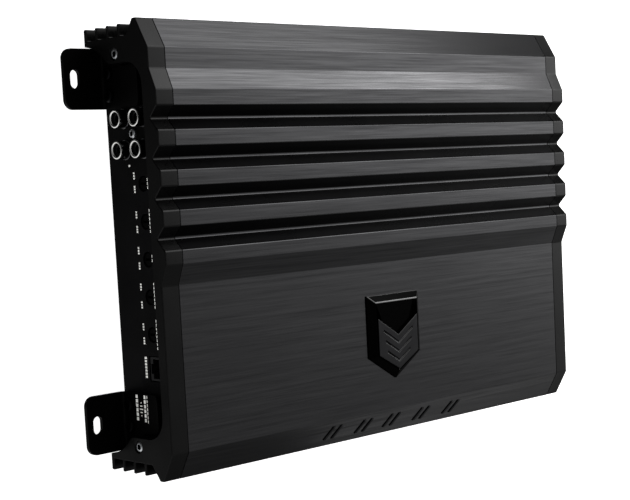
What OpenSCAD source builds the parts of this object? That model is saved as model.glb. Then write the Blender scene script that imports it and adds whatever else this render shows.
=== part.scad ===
// Car audio amplifier lying face up on its mounting feet. All lengths are millimetres.
// X runs along the extrusion with the input end at -X. Z is up and Z = 0 is the mounting plane.

/* [Body] */
// Length over both end caps
body_length = 286; // [280:1:300]
// Length of each end cap along X
cap_length = 9.5; // [9:0.5:11]
// Width over the two side lips
body_width = 205; // [203:1:208]
// Height of the rib crests above the mounting plane
crest_height = 50.5; // [50:0.5:53]
// Height of the broad brushed field
field_height = 46.5; // [46:0.1:47]
// Height of the V groove bottoms
groove_height = 45.6; // [45.2:0.1:46]
// Spacing of the V grooves
groove_pitch = 17.5; // [17.3:0.1:17.7]
// Half width of a V groove at its mouth
groove_half = 5.35; // [5:0.05:6]
// Thickness of the side fins
fin_thickness = 1.7; // [1.4:0.1:2.2]
// Spacing of the side fins
fin_pitch = 8.35; // [8:0.05:8.6]

/* [Input end] */
// Spacing of the RCA sockets, both ways
rca_pitch = 14; // [13.5:0.1:14.5]
// Outer diameter of an RCA shell
rca_diameter = 8.3; // [8:0.1:8.5]
// Spacing of the five screwdriver controls
control_pitch = 17.1; // [16.5:0.1:17.3]
// Diameter of the control shafts
control_diameter = 6; // [5:0.2:6.4]

/* [Mounting feet] */
// Thickness of the foot steel
foot_thickness = 2.2; // [1.8:0.1:2.4]
// Reach of a foot beyond the end cap face
foot_reach = 13.5; // [12:0.5:18]
// Width of the mounting slot
slot_width = 5; // [4.5:0.1:6]
// Length of the mounting slot
slot_length = 8.5; // [7.5:0.5:11]

/* [Output end] */
// Radius of a power wire entry
power_bore = 4.6; // [3.5:0.1:4.8]
// Radius of a speaker wire entry
speaker_bore = 2.8; // [2:0.1:3]
// Spacing of the plug-in fuses
fuse_pitch = 10; // [9:0.5:10]

/* [Hidden] */
$fn = 48;
// fit_gap parts pieces that slide together by hand, skin parts pieces that only touch.
fit_gap = 0.3;
skin = 0.05;
thread_gap = 0.06;
// cut lengthens a cutter past the face that it opens.
cut = 0.2;

end_x = body_length / 2;
shell_x = end_x - cap_length;
lip_y = body_width / 2;
lip_top = 38.8;
lip_under = 36.4;
lip_break_y = 89.3;
step_y = 80.1;
crest_y = 70.9;
crest_end_y = -5.3;
field_y = -14.6;
first_groove_y = 58.7;
groove_flat = 0.9;
groove_count = 4;
wall_y = 95.6;
fin_y = 101;
fin_count = 4;
soffit_z = 31.2;
rail_y = 84.1;
roof_z = 41;
boss_y = 89.5;
boss_z = 19;
boss_r = 5.4;
corner_y = 73.1;
corner_z = 30;
corner_r = 11;
foot_wall_y = 93.2;
inner_step = 1;
channel_y = 88.3;
channel_z = 21.5;
channel_r = 1.6;
ledge_y = 85.5;
ledge_z = 6.6;
pocket_y = 90.4;
rabbet_y = 91.3;
rabbet_z = 2;
seam = 0.3;

panel_t = 2;
panel_x = shell_x - panel_t;
board_z = ledge_z;
board_t = 1.6;
board_top = board_z + board_t;
board_half_x = 130;
board_half_y = 89;
cover_bottom = 0.3;
cover_top = 1.8;
cover_half_y = 91;
cover_screw_x = 115;
board_screw_x = [-95, -32, 32, 95];
ledge_screw_y = 88.3;

rca_y = 53.2;
rca_z = 20.5;
rca_front = 4;
rca_wall = 0.5;
rca_collar = 0.8;
rca_back = 20;
first_control_y = 30.6;
control_z = 24.9;
control_count = 5;
control_back = 7.5;
stem_r = 2;
deck_top = 18.4;
deck_t = 1.6;
jack_y = -53.5;
jack_z = 26;

device_count = 10;
device_pitch = 20;
device_x0 = -90;
clamp_screw_x = [-80, -40, 0, 40, 80];
clamp_z = 25.5;

terminal_z = 16;
terminal_back = 17;
terminal_front = 8.5;
housing_top = 33;
holder_top = 34.5;
power_y = 42;
power_pitch = 18;
power_half = 11;
speaker_y = -39.5;
speaker_pitch = 11;
speaker_half = 6.5;
fuse_y = 3;
fuse_half = 16;

foot_in_y = 65.2;
foot_out_y = 92.5;
foot_y = (foot_in_y + foot_out_y) / 2;
foot_slot_x = 7.8;
tab_top = 28;
tab_screw_y = [71, 81];
tab_screw_z = 7;

badge_x = 0.9;
badge_top_y = -30.8;
badge_shoulder_y = -62.1;
badge_tip_y = -74;
badge_half = 18.7;
badge_rise = 3.3;
badge_run = 3.5;

function arc(cx, cy, r, a0, a1, n) =
    [for (i = [0:n]) [cx + r * cos(a0 + (a1 - a0) * i / n), cy + r * sin(a0 + (a1 - a0) * i / n)]];
function mirrored(points) =
    [for (i = [len(points) - 1:-1:0]) [-points[i][0], points[i][1]]];

function groove_points(i) = let (y = first_groove_y - i * groove_pitch) [
    [y + groove_half, crest_height],
    [y + groove_flat / 2, groove_height],
    [y - groove_flat / 2, groove_height],
    [y - groove_half, crest_height]
];

function fin_points(i) = let (z = i * fin_pitch) [
    [wall_y, z], [fin_y, z], [fin_y, z + fin_thickness], [wall_y, z + fin_thickness]
];

// One side wall from the mounting plane up to the lip.
side_points = concat(
    [for (i = [0:fin_count - 1]) each fin_points(i)],
    [[wall_y, soffit_z], [lip_y, lip_under]]
);

outer_points = concat(
    [[lip_y, lip_top], [lip_break_y, field_height], [step_y, field_height], [crest_y, crest_height]],
    [for (i = [0:groove_count - 1]) each groove_points(i)],
    [[crest_end_y, crest_height], [field_y, field_height], [-lip_break_y, field_height], [-lip_y, lip_top]],
    mirrored(side_points),
    side_points
);

// The mouth of an end cap, open at the mounting plane.
mouth_points = concat(
    [[foot_wall_y, -cut], [foot_wall_y, 0.4], [92.2, 5], [90.9, 8.6], [89.1, 11.6]],
    arc(boss_y, boss_z, boss_r, 240, 180, 6),
    arc(corner_y, corner_z, corner_r, 0, 90, 8)
);

// The inside of the extrusion, with the ledge that carries the board and the cover.
bay_points = concat(
    [[rabbet_y, -cut], [rabbet_y, rabbet_z], [ledge_y, rabbet_z], [ledge_y, ledge_z]],
    [[pocket_y, ledge_z], [pocket_y, 9.6]],
    arc(boss_y, boss_z, boss_r - inner_step, 240, 180, 4),
    arc(corner_y, corner_z, corner_r + inner_step, 0, 90, 6)
);

module outer_profile() {
    polygon(outer_points);
}

module mouth_profile() {
    polygon(concat(mouth_points, mirrored(mouth_points)));
}

module bay_profile() {
    polygon(concat(bay_points, mirrored(bay_points)));
}

// Extrudes a profile drawn as (Y, Z) along X from x0.
module along_x(x0, length) {
    translate([x0, 0, 0]) rotate([90, 0, 90]) linear_extrude(length) children();
}

// Extrudes a profile drawn as (X, Z) along Y, from y0 to y0 + width.
module along_y(y0, width) {
    translate([0, y0 + width, 0]) rotate([90, 0, 0]) linear_extrude(width) children();
}

module rod_x(x0, x1, y, z, r) {
    translate([x0, y, z]) rotate([0, 90, 0]) cylinder(h = x1 - x0, r = r);
}

module rod_y(y0, y1, x, z, r) {
    translate([x, y1, z]) rotate([90, 0, 0]) cylinder(h = y1 - y0, r = r);
}

module box(x, y, z) {
    translate([x[0], y[0], z[0]]) cube([x[1] - x[0], y[1] - y[0], z[1] - z[0]]);
}

// Turns a piece made for the input end round to the output end.
module other_end() {
    mirror([1, 0, 0]) children();
}

// ---------------------------------------------------------------- casing

module heatsink_extrusion() color("#262626") {
    difference() {
        along_x(-shell_x, 2 * shell_x) difference() {
            outer_profile();
            bay_profile();
        }
        for (side = [-1, 1]) {
            rod_x(-shell_x - cut, shell_x + cut, side * channel_y, channel_z, channel_r);
            for (x = [-cover_screw_x, 0, cover_screw_x])
                translate([x, side * ledge_screw_y, rabbet_z - cut]) cylinder(h = 4.4, r = 1.45);
            for (x = board_screw_x)
                translate([x, side * ledge_screw_y, 2.4]) cylinder(h = 5, r = 1.45);
            for (x = clamp_screw_x)
                rod_y(side > 0 ? 84 : -92, side > 0 ? 92 : -84, x, clamp_z, 1.9);
        }
    }
}

module end_cap() {
    difference() {
        union() {
            along_x(-end_x, cap_length - seam) outer_profile();
            along_x(-shell_x - seam, seam) offset(delta = -seam) outer_profile();
        }
        along_x(-end_x - cut, cap_length + 2 * cut) mouth_profile();
        for (side = [-1, 1]) {
            rod_x(-end_x - cut, -end_x + 2.6, side * channel_y, channel_z, 3);
            rod_x(-end_x, -shell_x + cut, side * channel_y, channel_z, channel_r);
        }
    }
}

module end_cap_input() color("#1a1a1a") {
    end_cap();
}

module end_cap_output() color("#1a1a1a") {
    other_end() end_cap();
}

// Button head screw along X with its head toward -X, the head face at x0.
module panel_screw(x0, y, z, head_r, head_h, shank_r, length) {
    difference() {
        union() {
            rod_x(x0, x0 + head_h, y, z, head_r);
            rod_x(x0 + head_h, x0 + head_h + length, y, z, shank_r);
        }
        translate([x0 - cut, y, z]) rotate([0, 90, 0])
            cylinder(h = head_h * 0.62 + cut, r = head_r * 0.56, $fn = 6);
    }
}

module end_cap_screws() color("#b8b8b8") {
    for (side = [-1, 1]) {
        panel_screw(-end_x + 0.4, side * channel_y, channel_z, 2.6, 2.2, 1.5, 20);
        other_end() panel_screw(-end_x + 0.4, side * channel_y, channel_z, 2.6, 2.2, 1.5, 20);
    }
}

// The end panels close the extrusion behind the cap mouths.
module end_panel() {
    along_x(-shell_x, panel_t) intersection() {
        offset(delta = -fit_gap) bay_profile();
        translate([-lip_y, 0]) square([body_width, crest_height]);
    }
}

module foot_screw_holes() {
    for (side = [-1, 1], y = tab_screw_y)
        rod_x(-shell_x - 4, -shell_x + panel_t + cut, side * y, tab_screw_z, 2.05);
}

function control_y(i) = first_control_y - i * control_pitch;

module input_panel() color("#161616") {
    difference() {
        end_panel();
        foot_screw_holes();
        for (a = [-0.5, 0.5], b = [-0.5, 0.5])
            rod_x(-shell_x - cut, -panel_x + cut, rca_y + a * rca_pitch, rca_z + b * rca_pitch,
                rca_diameter / 2 + 0.15);
        rod_x(-shell_x - cut, -panel_x + cut, rca_y, rca_z, 1.5);
        for (i = [0:control_count - 1])
            rod_x(-shell_x - cut, -panel_x + cut, control_y(i), control_z, 3.6);
        box([-shell_x - cut, -panel_x + cut], [jack_y - 5.9, jack_y + 5.9], [21, 31]);
    }
}

module panel_window(y, half, top) {
    box([panel_x - cut, shell_x + cut], [y - half - fit_gap, y + half + fit_gap],
        [board_top - fit_gap, top + fit_gap]);
}

module output_panel() color("#161616") {
    difference() {
        other_end() end_panel();
        other_end() foot_screw_holes();
        panel_window(power_y, power_pitch / 2 + power_half, housing_top);
        panel_window(speaker_y, 1.5 * speaker_pitch + speaker_half, housing_top);
        panel_window(fuse_y, fuse_half, holder_top);
    }
}

module bottom_cover() color("#2b2b2b") {
    difference() {
        box([-panel_x + fit_gap, panel_x - fit_gap], [-cover_half_y, cover_half_y],
            [cover_bottom, cover_top]);
        for (side = [-1, 1], x = [-cover_screw_x, 0, cover_screw_x])
            translate([x, side * ledge_screw_y, cover_bottom - cut])
                cylinder(h = cover_top - cover_bottom + 2 * cut, r1 = 3.3, r2 = 1.3);
    }
}

module cover_screws() color("#3a3a3a") {
    for (side = [-1, 1], x = [-cover_screw_x, 0, cover_screw_x])
        translate([x, side * ledge_screw_y, cover_bottom]) {
            cylinder(h = cover_top - cover_bottom, r1 = 3, r2 = 1.4);
            translate([0, 0, cover_top - cover_bottom]) cylinder(h = 4, r = 1.4);
        }
}

// ---------------------------------------------------------------- mounting feet

// A foot bent from sheet, made for the +Y side of the input end.
module foot() {
    x0 = -end_x - foot_reach;
    x1 = -shell_x;
    bend = 1.4;
    inner = bend + foot_thickness;
    corner = 4.5;
    intersection() {
        along_y(foot_in_y, foot_out_y - foot_in_y)
            polygon(concat(
                [[x0, 0], [x1 - inner, 0]],
                arc(x1 - inner, inner, inner, 270, 360, 6),
                [[x1, tab_top], [x1 - foot_thickness, tab_top]],
                arc(x1 - inner, inner, bend, 360, 270, 5),
                [[x0, foot_thickness]]
            ));
        translate([0, 0, -cut]) linear_extrude(tab_top + 2 * cut) {
            for (y = [foot_in_y + corner, foot_out_y - corner])
                translate([x0 + corner, y]) circle(r = corner);
            translate([x0, foot_in_y + corner])
                square([x1 - x0, foot_out_y - foot_in_y - 2 * corner]);
            translate([x0 + corner, foot_in_y]) square([x1 - x0 - corner, foot_out_y - foot_in_y]);
        }
        along_x(x0 - cut, x1 - x0 + 2 * cut) polygon([
            [foot_in_y, -cut], [foot_out_y, -cut], [foot_out_y, 2.4], [91.4, 5.6], [90, 8.6],
            [88.2, 11.6], [85.2, 14.6], [83.6, 17.6], [83.6, 24.5], [82.6, 27], [80.4, tab_top],
            [68, tab_top], [65.5, 27], [foot_in_y, 24.5]
        ]);
    }
}

module mounting_slot() {
    reach = (slot_length - slot_width) / 2;
    translate([-end_x - foot_slot_x, foot_y, -cut]) {
        for (side = [-1, 1])
            translate([0, side * reach, 0]) cylinder(h = foot_thickness + 2 * cut, r = slot_width / 2);
        translate([-slot_width / 2, -reach, 0])
            cube([slot_width, 2 * reach, foot_thickness + 2 * cut]);
    }
}

module drilled_foot() {
    difference() {
        foot();
        mounting_slot();
        foot_screw_holes();
    }
}

module foot_input_rib_side() color("#111111") {
    drilled_foot();
}

module foot_input_badge_side() color("#111111") {
    mirror([0, 1, 0]) drilled_foot();
}

module foot_output_rib_side() color("#111111") {
    other_end() drilled_foot();
}

module foot_output_badge_side() color("#111111") {
    other_end() mirror([0, 1, 0]) drilled_foot();
}

module foot_screws() color("#1c1c1c") {
    for (side = [-1, 1], y = tab_screw_y) {
        panel_screw(-shell_x - foot_thickness - 2, side * y, tab_screw_z, 3, 2, 2, 4.1);
        other_end()
            panel_screw(-shell_x - foot_thickness - 2, side * y, tab_screw_z, 3, 2, 2, 4.1);
    }
}

// ---------------------------------------------------------------- badge

module shield(inset) {
    side = badge_half - inset;
    low = inset * 1.08;
    polygon([
        [-side, badge_top_y - inset], [side, badge_top_y - inset],
        [side, badge_shoulder_y + inset * 0.25], [0, badge_tip_y + low],
        [-side, badge_shoulder_y + inset * 0.25]
    ]);
}

module badge_plate() color("#0b0b0b") {
    translate([badge_x, 0, field_height]) difference() {
        hull() {
            linear_extrude(0.7) shield(0);
            translate([0, 0, badge_rise - 0.2]) linear_extrude(0.2) shield(badge_run);
        }
        translate([0, 0, badge_rise - 1.2]) linear_extrude(2) shield(badge_run + 0.9);
    }
}

// The inlay is a plain chevron shield with three engraved nested chevrons.
module badge_inlay() color("#4a4a4a") {
    floor_z = badge_rise - 1.2;
    inset = badge_run + 1.1;
    translate([badge_x, 0, field_height + floor_z]) difference() {
        linear_extrude(1.7) difference() {
            shield(inset);
            polygon([
                [-badge_half, badge_top_y], [badge_half, badge_top_y], [badge_half, -42],
                [badge_half - inset, -42.4], [0, -51.6], [-badge_half + inset, -42.4],
                [-badge_half, -42]
            ]);
        }
        for (i = [0:2]) let (y = -55 - 4.6 * i, half = 10.5 - 1.2 * i)
            translate([0, 0, 1.2]) linear_extrude(1) polygon([
                [-half, y + half * 0.64], [0, y], [half, y + half * 0.64],
                [half, y + half * 0.64 - 1.1], [0, y - 1.1], [-half, y + half * 0.64 - 1.1]
            ]);
    }
}

// ---------------------------------------------------------------- input sockets and controls

module rca_places() {
    for (a = [-0.5, 0.5], b = [-0.5, 0.5])
        translate([0, rca_y + a * rca_pitch, rca_z + b * rca_pitch]) children();
}

module rca_housing() color("#121212") {
    difference() {
        box([-panel_x, -end_x + 27], [rca_y - 15, rca_y + 15], [board_top, 35.4]);
        rca_places() rod_x(-panel_x - cut, -end_x + rca_back + skin, 0, 0, rca_diameter / 2 + skin);
        rod_x(-panel_x - cut, -end_x + 24, rca_y, rca_z, 1.3);
    }
}

module rca_shells() color("#cfcfca") {
    tail_r = rca_diameter / 2 - 0.15;
    rca_places() difference() {
        union() {
            rod_x(-end_x + rca_front, -shell_x - rca_collar, 0, 0, rca_diameter / 2);
            rod_x(-shell_x - rca_collar, -shell_x, 0, 0, rca_diameter / 2 + 0.4);
            rod_x(-shell_x, -end_x + rca_back, 0, 0, tail_r);
        }
        rod_x(-end_x + rca_front - cut, -end_x + rca_back + cut, 0, 0,
            rca_diameter / 2 - rca_wall);
    }
}

module rca_insulators() color("#1d1d1d") {
    rca_places() difference() {
        rod_x(-end_x + rca_front + 1.6, -end_x + rca_back, 0, 0,
            rca_diameter / 2 - rca_wall - skin);
        rod_x(-end_x + rca_front, -end_x + rca_back + cut, 0, 0, 1.75);
    }
}

module rca_contacts() color("#d8c070") {
    rca_places() difference() {
        rod_x(-end_x + rca_front + 2.4, -end_x + rca_back, 0, 0, 1.7);
        rod_x(-end_x + rca_front, -end_x + rca_back - 1, 0, 0, 1.35);
    }
}

module rca_screw() color("#b8b8b8") {
    panel_screw(-shell_x - 1.7, rca_y, rca_z, 2.3, 1.7, 1.25, 10);
}

module control_bodies() color("#20303a") {
    for (i = [0:control_count - 1]) difference() {
        box([-shell_x + control_back, -shell_x + 16], [control_y(i) - 5, control_y(i) + 5],
            [deck_top, 30.5]);
        rod_x(-shell_x, -shell_x + 14, control_y(i), control_z, stem_r + thread_gap);
    }
}

// A recessed shaft with a screwdriver slot, turning in its control body.
module control_shaft(i) {
    y = control_y(i);
    difference() {
        union() {
            rod_x(-shell_x + 0.5, -shell_x + control_back - fit_gap, y, control_z,
                control_diameter / 2);
            rod_x(-shell_x + 1, -shell_x + 13.5, y, control_z, stem_r);
        }
        box([-shell_x - cut, -shell_x + 1.9], [y - 0.55, y + 0.55],
            [control_z - 2.4, control_z + control_diameter]);
    }
}

module level_shaft() color("#3c3c3c") {
    control_shaft(0);
}

module subsonic_shaft() color("#3c3c3c") {
    control_shaft(1);
}

module lowpass_shaft() color("#3c3c3c") {
    control_shaft(2);
}

module bass_shaft() color("#3c3c3c") {
    control_shaft(3);
}

module phase_shaft() color("#3c3c3c") {
    control_shaft(4);
}

module remote_jack() color("#0e0e0e") {
    difference() {
        union() {
            box([-shell_x + 0.3, -panel_x + fit_gap], [jack_y - 5.6, jack_y + 5.6], [21.3, 30.7]);
            box([-panel_x + fit_gap, -shell_x + 18], [jack_y - 7, jack_y + 7], [deck_top, 32]);
        }
        box([-shell_x - cut, -shell_x + 14], [jack_y - 4.4, jack_y + 4.4], [23.4, 29.6]);
        box([-shell_x - cut, -shell_x + 9], [jack_y - 2.2, jack_y + 2.2], [22, 24]);
    }
}

module jack_contacts() color("#e0c060") {
    for (i = [0:3])
        box([-shell_x + 2, -shell_x + 14], [jack_y - 2.1 + i * 1.2, jack_y - 1.5 + i * 1.2],
            [28.6, 29.6 - skin]);
}

// ---------------------------------------------------------------- boards

deck_posts = [[-124, 22.05], [-124, -29.25], [-108, 32], [-108, -57]];

module control_board() color("#14512c") {
    difference() {
        box([-panel_x + fit_gap, -104], [-63, 38], [deck_top - deck_t, deck_top]);
        for (p = deck_posts)
            translate([p[0], p[1], deck_top - deck_t - cut]) cylinder(h = deck_t + 2 * cut, r = 1.5);
    }
}

module control_board_posts() color("#c9b37a") {
    for (p = deck_posts)
        translate([p[0], p[1], board_top]) difference() {
            cylinder(h = deck_top - deck_t - board_top, r = 2.5);
            translate([0, 0, 1]) cylinder(h = 10, r = 1.3);
        }
}

module control_board_screws() color("#9a9a9a") {
    for (p = deck_posts) {
        translate([p[0], p[1], deck_top]) cylinder(h = 1.6, r = 2.4);
        translate([p[0], p[1], deck_top - 6]) cylinder(h = 6, r = 1.25);
    }
}

support_places = [[-80, -12], [80, 6], [0, -60], [-10, 0]];

module main_board() color("#175c33") {
    difference() {
        box([-board_half_x, board_half_x], [-board_half_y, board_half_y], [board_z, board_top]);
        for (side = [-1, 1], x = board_screw_x)
            translate([x, side * ledge_screw_y, board_z - cut]) cylinder(h = board_t + 2 * cut, r = 1.6);
    }
}

module board_supports() color("#e6e6e0") {
    for (p = support_places)
        translate([p[0], p[1], cover_top]) cylinder(h = board_z - cover_top, r = 3);
}

module board_screws() color("#9a9a9a") {
    for (side = [-1, 1], x = board_screw_x) {
        translate([x, side * ledge_screw_y, board_top]) cylinder(h = 1.7, r = 2);
        translate([x, side * ledge_screw_y, 3]) cylinder(h = board_top - 3, r = 1.4);
    }
}

// ---------------------------------------------------------------- power stage

module device_places() {
    for (side = [0, 1], i = [0:device_count - 1])
        mirror([0, side, 0]) translate([device_x0 + i * device_pitch, 0, 0]) children();
}

module power_transistors() color("#181818") {
    device_places() {
        box([-5, 5], [80.3, 84.8], [16, 31]);
        for (lead = [-2.54, 0, 2.54])
            box([lead - 0.4, lead + 0.4], [82, 82.6], [board_top, 16]);
    }
}

module transistor_pads() color("#9aa0a6") {
    device_places() box([-5.2, 5.2], [84.8, 85.1], [19.2, 29.8]);
}

module clamp_bars() color("#8d8d8d") {
    for (side = [0, 1]) mirror([0, side, 0]) difference() {
        box([-98, 98], [77.3, 80.3], [21, 30]);
        for (x = clamp_screw_x) rod_y(77, 81, x, clamp_z, 2);
    }
}

module clamp_screws() color("#2f2f2f") {
    for (side = [0, 1], x = clamp_screw_x) mirror([0, side, 0]) {
        rod_y(75.1, 77.3, x, clamp_z, 3.4);
        rod_y(77.3, 91, x, clamp_z, 1.8);
    }
}

transformer = [-52, 32];
inductor = [60, -30];

module ring_core(place, inner, outer, z0, z1) {
    translate([place[0], place[1], z0]) difference() {
        cylinder(h = z1 - z0, r = outer);
        translate([0, 0, -cut]) cylinder(h = z1 - z0 + 2 * cut, r = inner);
    }
}

// A copper bank wound round a ring core over part of its turn.
module ring_winding(place, inner, outer, z0, z1, wire, start, sweep) {
    translate([place[0], place[1], 0]) rotate([0, 0, start]) rotate_extrude(angle = sweep)
        difference() {
            translate([inner - wire, z0 - wire])
                square([outer - inner + 2 * wire, z1 - z0 + 2 * wire]);
            translate([inner - skin, z0 - skin])
                square([outer - inner + 2 * skin, z1 - z0 + 2 * skin]);
        }
}

module transformer_core() color("#2f4f3a") {
    ring_core(transformer, 16, 30, 11.5, 33);
}

module transformer_windings() color("#b8672c") {
    for (start = [8, 188])
        ring_winding(transformer, 16, 30, 11.5, 33, 3, start, 164);
}

module inductor_core() color("#d0b030") {
    ring_core(inductor, 11, 21, 11, 25);
}

module inductor_winding() color("#b8672c") {
    ring_winding(inductor, 11, 21, 11, 25, 2.5, 20, 320);
}

module bulk_capacitors() color("#23262e") {
    for (x = [4, 32, 60], y = [22, 52])
        translate([x, y, board_top]) cylinder(h = 30, r = 12.5);
}

// ---------------------------------------------------------------- wire terminals

// The set screws lean outward at 45 degrees, through the chamfer of the housing.
screw_root_x = shell_x - 3;
housing_points = [
    [shell_x - terminal_back, board_top], [shell_x + terminal_front, board_top],
    [shell_x + terminal_front, 22.5], [shell_x + 0.5, 30.5], [shell_x + 0.5, housing_top],
    [shell_x - terminal_back, housing_top]
];

function insert_points(grow) = [
    [shell_x - 12 - grow * 60, 10.2 - grow], [shell_x + 3.9 + grow, 10.2 - grow],
    [shell_x + 3.9 + grow, 20.9 + grow / 2], [shell_x - 1.1 + grow / 2, 25.9 + grow],
    [shell_x - 12 - grow * 60, 25.9 + grow]
];

module set_screw_rod(y, s0, s1, r) {
    translate([screw_root_x, y, terminal_z]) rotate([0, 45, 0])
        translate([0, 0, s0]) cylinder(h = s1 - s0, r = r);
}

module terminal_housing(places, half, bore) {
    difference() {
        along_y(places[0] - half, places[len(places) - 1] - places[0] + 2 * half)
            polygon(housing_points);
        for (y = places) {
            along_y(y - bore - 2.1, 2 * bore + 4.2) polygon(insert_points(0.1));
            rod_x(shell_x + 3, shell_x + terminal_front + cut, y, terminal_z, bore + 0.5);
            set_screw_rod(y, 6.2, 14, 2.9);
        }
    }
}

module terminal_inserts(places, bore) {
    for (y = places) difference() {
        along_y(y - bore - 2, 2 * bore + 4) polygon(insert_points(0));
        rod_x(shell_x - 13, shell_x + 5, y, terminal_z, bore);
        set_screw_rod(y, 0, 9, 2.4 + thread_gap);
    }
}

// A backed-off set screw whose cone point stays clear of the wire bore.
module terminal_screw(y, bore) {
    cone_top = bore * sqrt(2) + 2.4 + 0.35;
    translate([screw_root_x, y, terminal_z]) rotate([0, 45, 0]) difference() {
        union() {
            translate([0, 0, cone_top - 1.9]) cylinder(h = 1.9, r1 = 0.5, r2 = 2.4);
            translate([0, 0, cone_top]) cylinder(h = 11.6 - cone_top, r = 2.4);
        }
        translate([0, 0, 9.8]) cylinder(h = 3, r = 1.45, $fn = 6);
    }
}

power_places = [for (i = [-0.5, 0.5]) power_y + i * power_pitch];
speaker_places = [for (i = [-1.5, -0.5, 0.5, 1.5]) speaker_y + i * speaker_pitch];

module power_terminal_housing() color("#131313") {
    terminal_housing(power_places, power_half, power_bore);
}

module power_terminal_inserts() color("#c8a24a") {
    terminal_inserts(power_places, power_bore);
}

module power_screw_negative() color("#8f8f8f") {
    terminal_screw(power_places[0], power_bore);
}

module power_screw_positive() color("#8f8f8f") {
    terminal_screw(power_places[1], power_bore);
}

module speaker_terminal_housing() color("#131313") {
    terminal_housing(speaker_places, speaker_half, speaker_bore);
}

module speaker_terminal_inserts() color("#c8a24a") {
    terminal_inserts(speaker_places, speaker_bore);
}

module speaker_screw_1() color("#8f8f8f") {
    terminal_screw(speaker_places[0], speaker_bore);
}

module speaker_screw_2() color("#8f8f8f") {
    terminal_screw(speaker_places[1], speaker_bore);
}

module speaker_screw_3() color("#8f8f8f") {
    terminal_screw(speaker_places[2], speaker_bore);
}

module speaker_screw_4() color("#8f8f8f") {
    terminal_screw(speaker_places[3], speaker_bore);
}

// ---------------------------------------------------------------- fuses

function fuse_place(i) = fuse_y + (i - 1) * fuse_pitch;

module fuse_holder() color("#151515") {
    difference() {
        box([shell_x - 20, shell_x + 2.5], [fuse_y - fuse_half, fuse_y + fuse_half],
            [board_top, holder_top]);
        for (i = [0:2]) let (y = fuse_place(i)) {
            box([shell_x - 3.2, shell_x + 3], [y - 2.9, y + 2.9], [11.7, 31.3]);
            for (z = [13.6, 23.6])
                box([shell_x - 14, shell_x - 3], [y - 0.7, y + 0.7], [z, z + 5.8]);
        }
    }
}

module fuse_body(i) {
    y = fuse_place(i);
    difference() {
        box([shell_x - 3, shell_x + 8], [y - 2.6, y + 2.6], [12, 31]);
        box([shell_x + 6, shell_x + 9], [y - 1.2, y + 1.2], [15, 28]);
    }
}

module fuse_blades(i) {
    y = fuse_place(i);
    for (z = [14, 24])
        box([shell_x - 11, shell_x - 3], [y - 0.4, y + 0.4], [z, z + 5]);
}

module fuse_1() color("#2c9c5a") {
    fuse_body(0);
}

module fuse_1_blades() color("#b5b9bd") {
    fuse_blades(0);
}

module fuse_2() color("#2c9c5a") {
    fuse_body(1);
}

module fuse_2_blades() color("#b5b9bd") {
    fuse_blades(1);
}

module fuse_3() color("#2c9c5a") {
    fuse_body(2);
}

module fuse_3_blades() color("#b5b9bd") {
    fuse_blades(2);
}

heatsink_extrusion();
end_cap_input();
end_cap_output();
end_cap_screws();
input_panel();
output_panel();
bottom_cover();
cover_screws();
foot_input_rib_side();
foot_input_badge_side();
foot_output_rib_side();
foot_output_badge_side();
foot_screws();
badge_plate();
badge_inlay();
rca_housing();
rca_shells();
rca_insulators();
rca_contacts();
rca_screw();
control_bodies();
level_shaft();
subsonic_shaft();
lowpass_shaft();
bass_shaft();
phase_shaft();
remote_jack();
jack_contacts();
control_board();
control_board_posts();
control_board_screws();
main_board();
board_supports();
board_screws();
power_transistors();
transistor_pads();
clamp_bars();
clamp_screws();
transformer_core();
transformer_windings();
inductor_core();
inductor_winding();
bulk_capacitors();
power_terminal_housing();
power_terminal_inserts();
power_screw_negative();
power_screw_positive();
speaker_terminal_housing();
speaker_terminal_inserts();
speaker_screw_1();
speaker_screw_2();
speaker_screw_3();
speaker_screw_4();
fuse_holder();
fuse_1();
fuse_1_blades();
fuse_2();
fuse_2_blades();
fuse_3();
fuse_3_blades();
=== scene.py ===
"""Looks of a car audio amplifier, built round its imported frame.

Sizes held by the classes are in millimetres in the frame of the casing: X runs along the
extrusion from the input end, Y from the badge side to the ribbed side, Z out of the face.
Meshes are made in metres with every object at the origin.
"""
import logging
import math
from dataclasses import dataclass, field
from enum import Enum
from typing import Any, Callable, Iterable, Optional, Sequence

import bmesh
import bpy
from mathutils import Matrix, Vector


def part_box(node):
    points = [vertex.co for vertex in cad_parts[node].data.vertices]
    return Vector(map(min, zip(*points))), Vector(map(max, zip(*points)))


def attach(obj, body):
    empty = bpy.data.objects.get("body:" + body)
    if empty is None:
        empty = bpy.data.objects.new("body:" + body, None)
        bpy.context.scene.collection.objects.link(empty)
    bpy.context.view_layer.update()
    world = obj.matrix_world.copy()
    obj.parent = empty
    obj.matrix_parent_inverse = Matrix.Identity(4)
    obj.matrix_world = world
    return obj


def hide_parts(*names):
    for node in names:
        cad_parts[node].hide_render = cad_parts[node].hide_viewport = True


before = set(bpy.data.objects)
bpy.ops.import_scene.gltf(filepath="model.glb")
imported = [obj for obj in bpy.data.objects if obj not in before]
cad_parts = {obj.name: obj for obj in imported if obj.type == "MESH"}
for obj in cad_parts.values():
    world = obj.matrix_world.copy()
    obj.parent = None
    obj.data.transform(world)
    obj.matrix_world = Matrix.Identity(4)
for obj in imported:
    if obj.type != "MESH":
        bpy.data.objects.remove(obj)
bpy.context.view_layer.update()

MM = 0.001
MAIN_BODY = "amplifier"
STREAK_MAP = "grain_direction"
log = logging.getLogger("amplifier")


class End(Enum):
    """The two ends of the casing, as the sign of X."""

    INPUT = -1
    OUTPUT = 1


class Face(Enum):
    """Material places on the extrusion: brushed faces, and unbrushed ones darkened as painted
    shade.
    """

    BRUSHED = 0
    PLAIN = 1


# ---------------------------------------------------------------- frame, node and colour helpers


def corners(node: str) -> tuple[Vector, Vector]:
    """Gives the lowest and highest corner of a frame node.

    Args:
        node: The node's name.

    Returns:
        Both corners in millimetres.
    """
    low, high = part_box(node)
    return low / MM, high / MM


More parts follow.
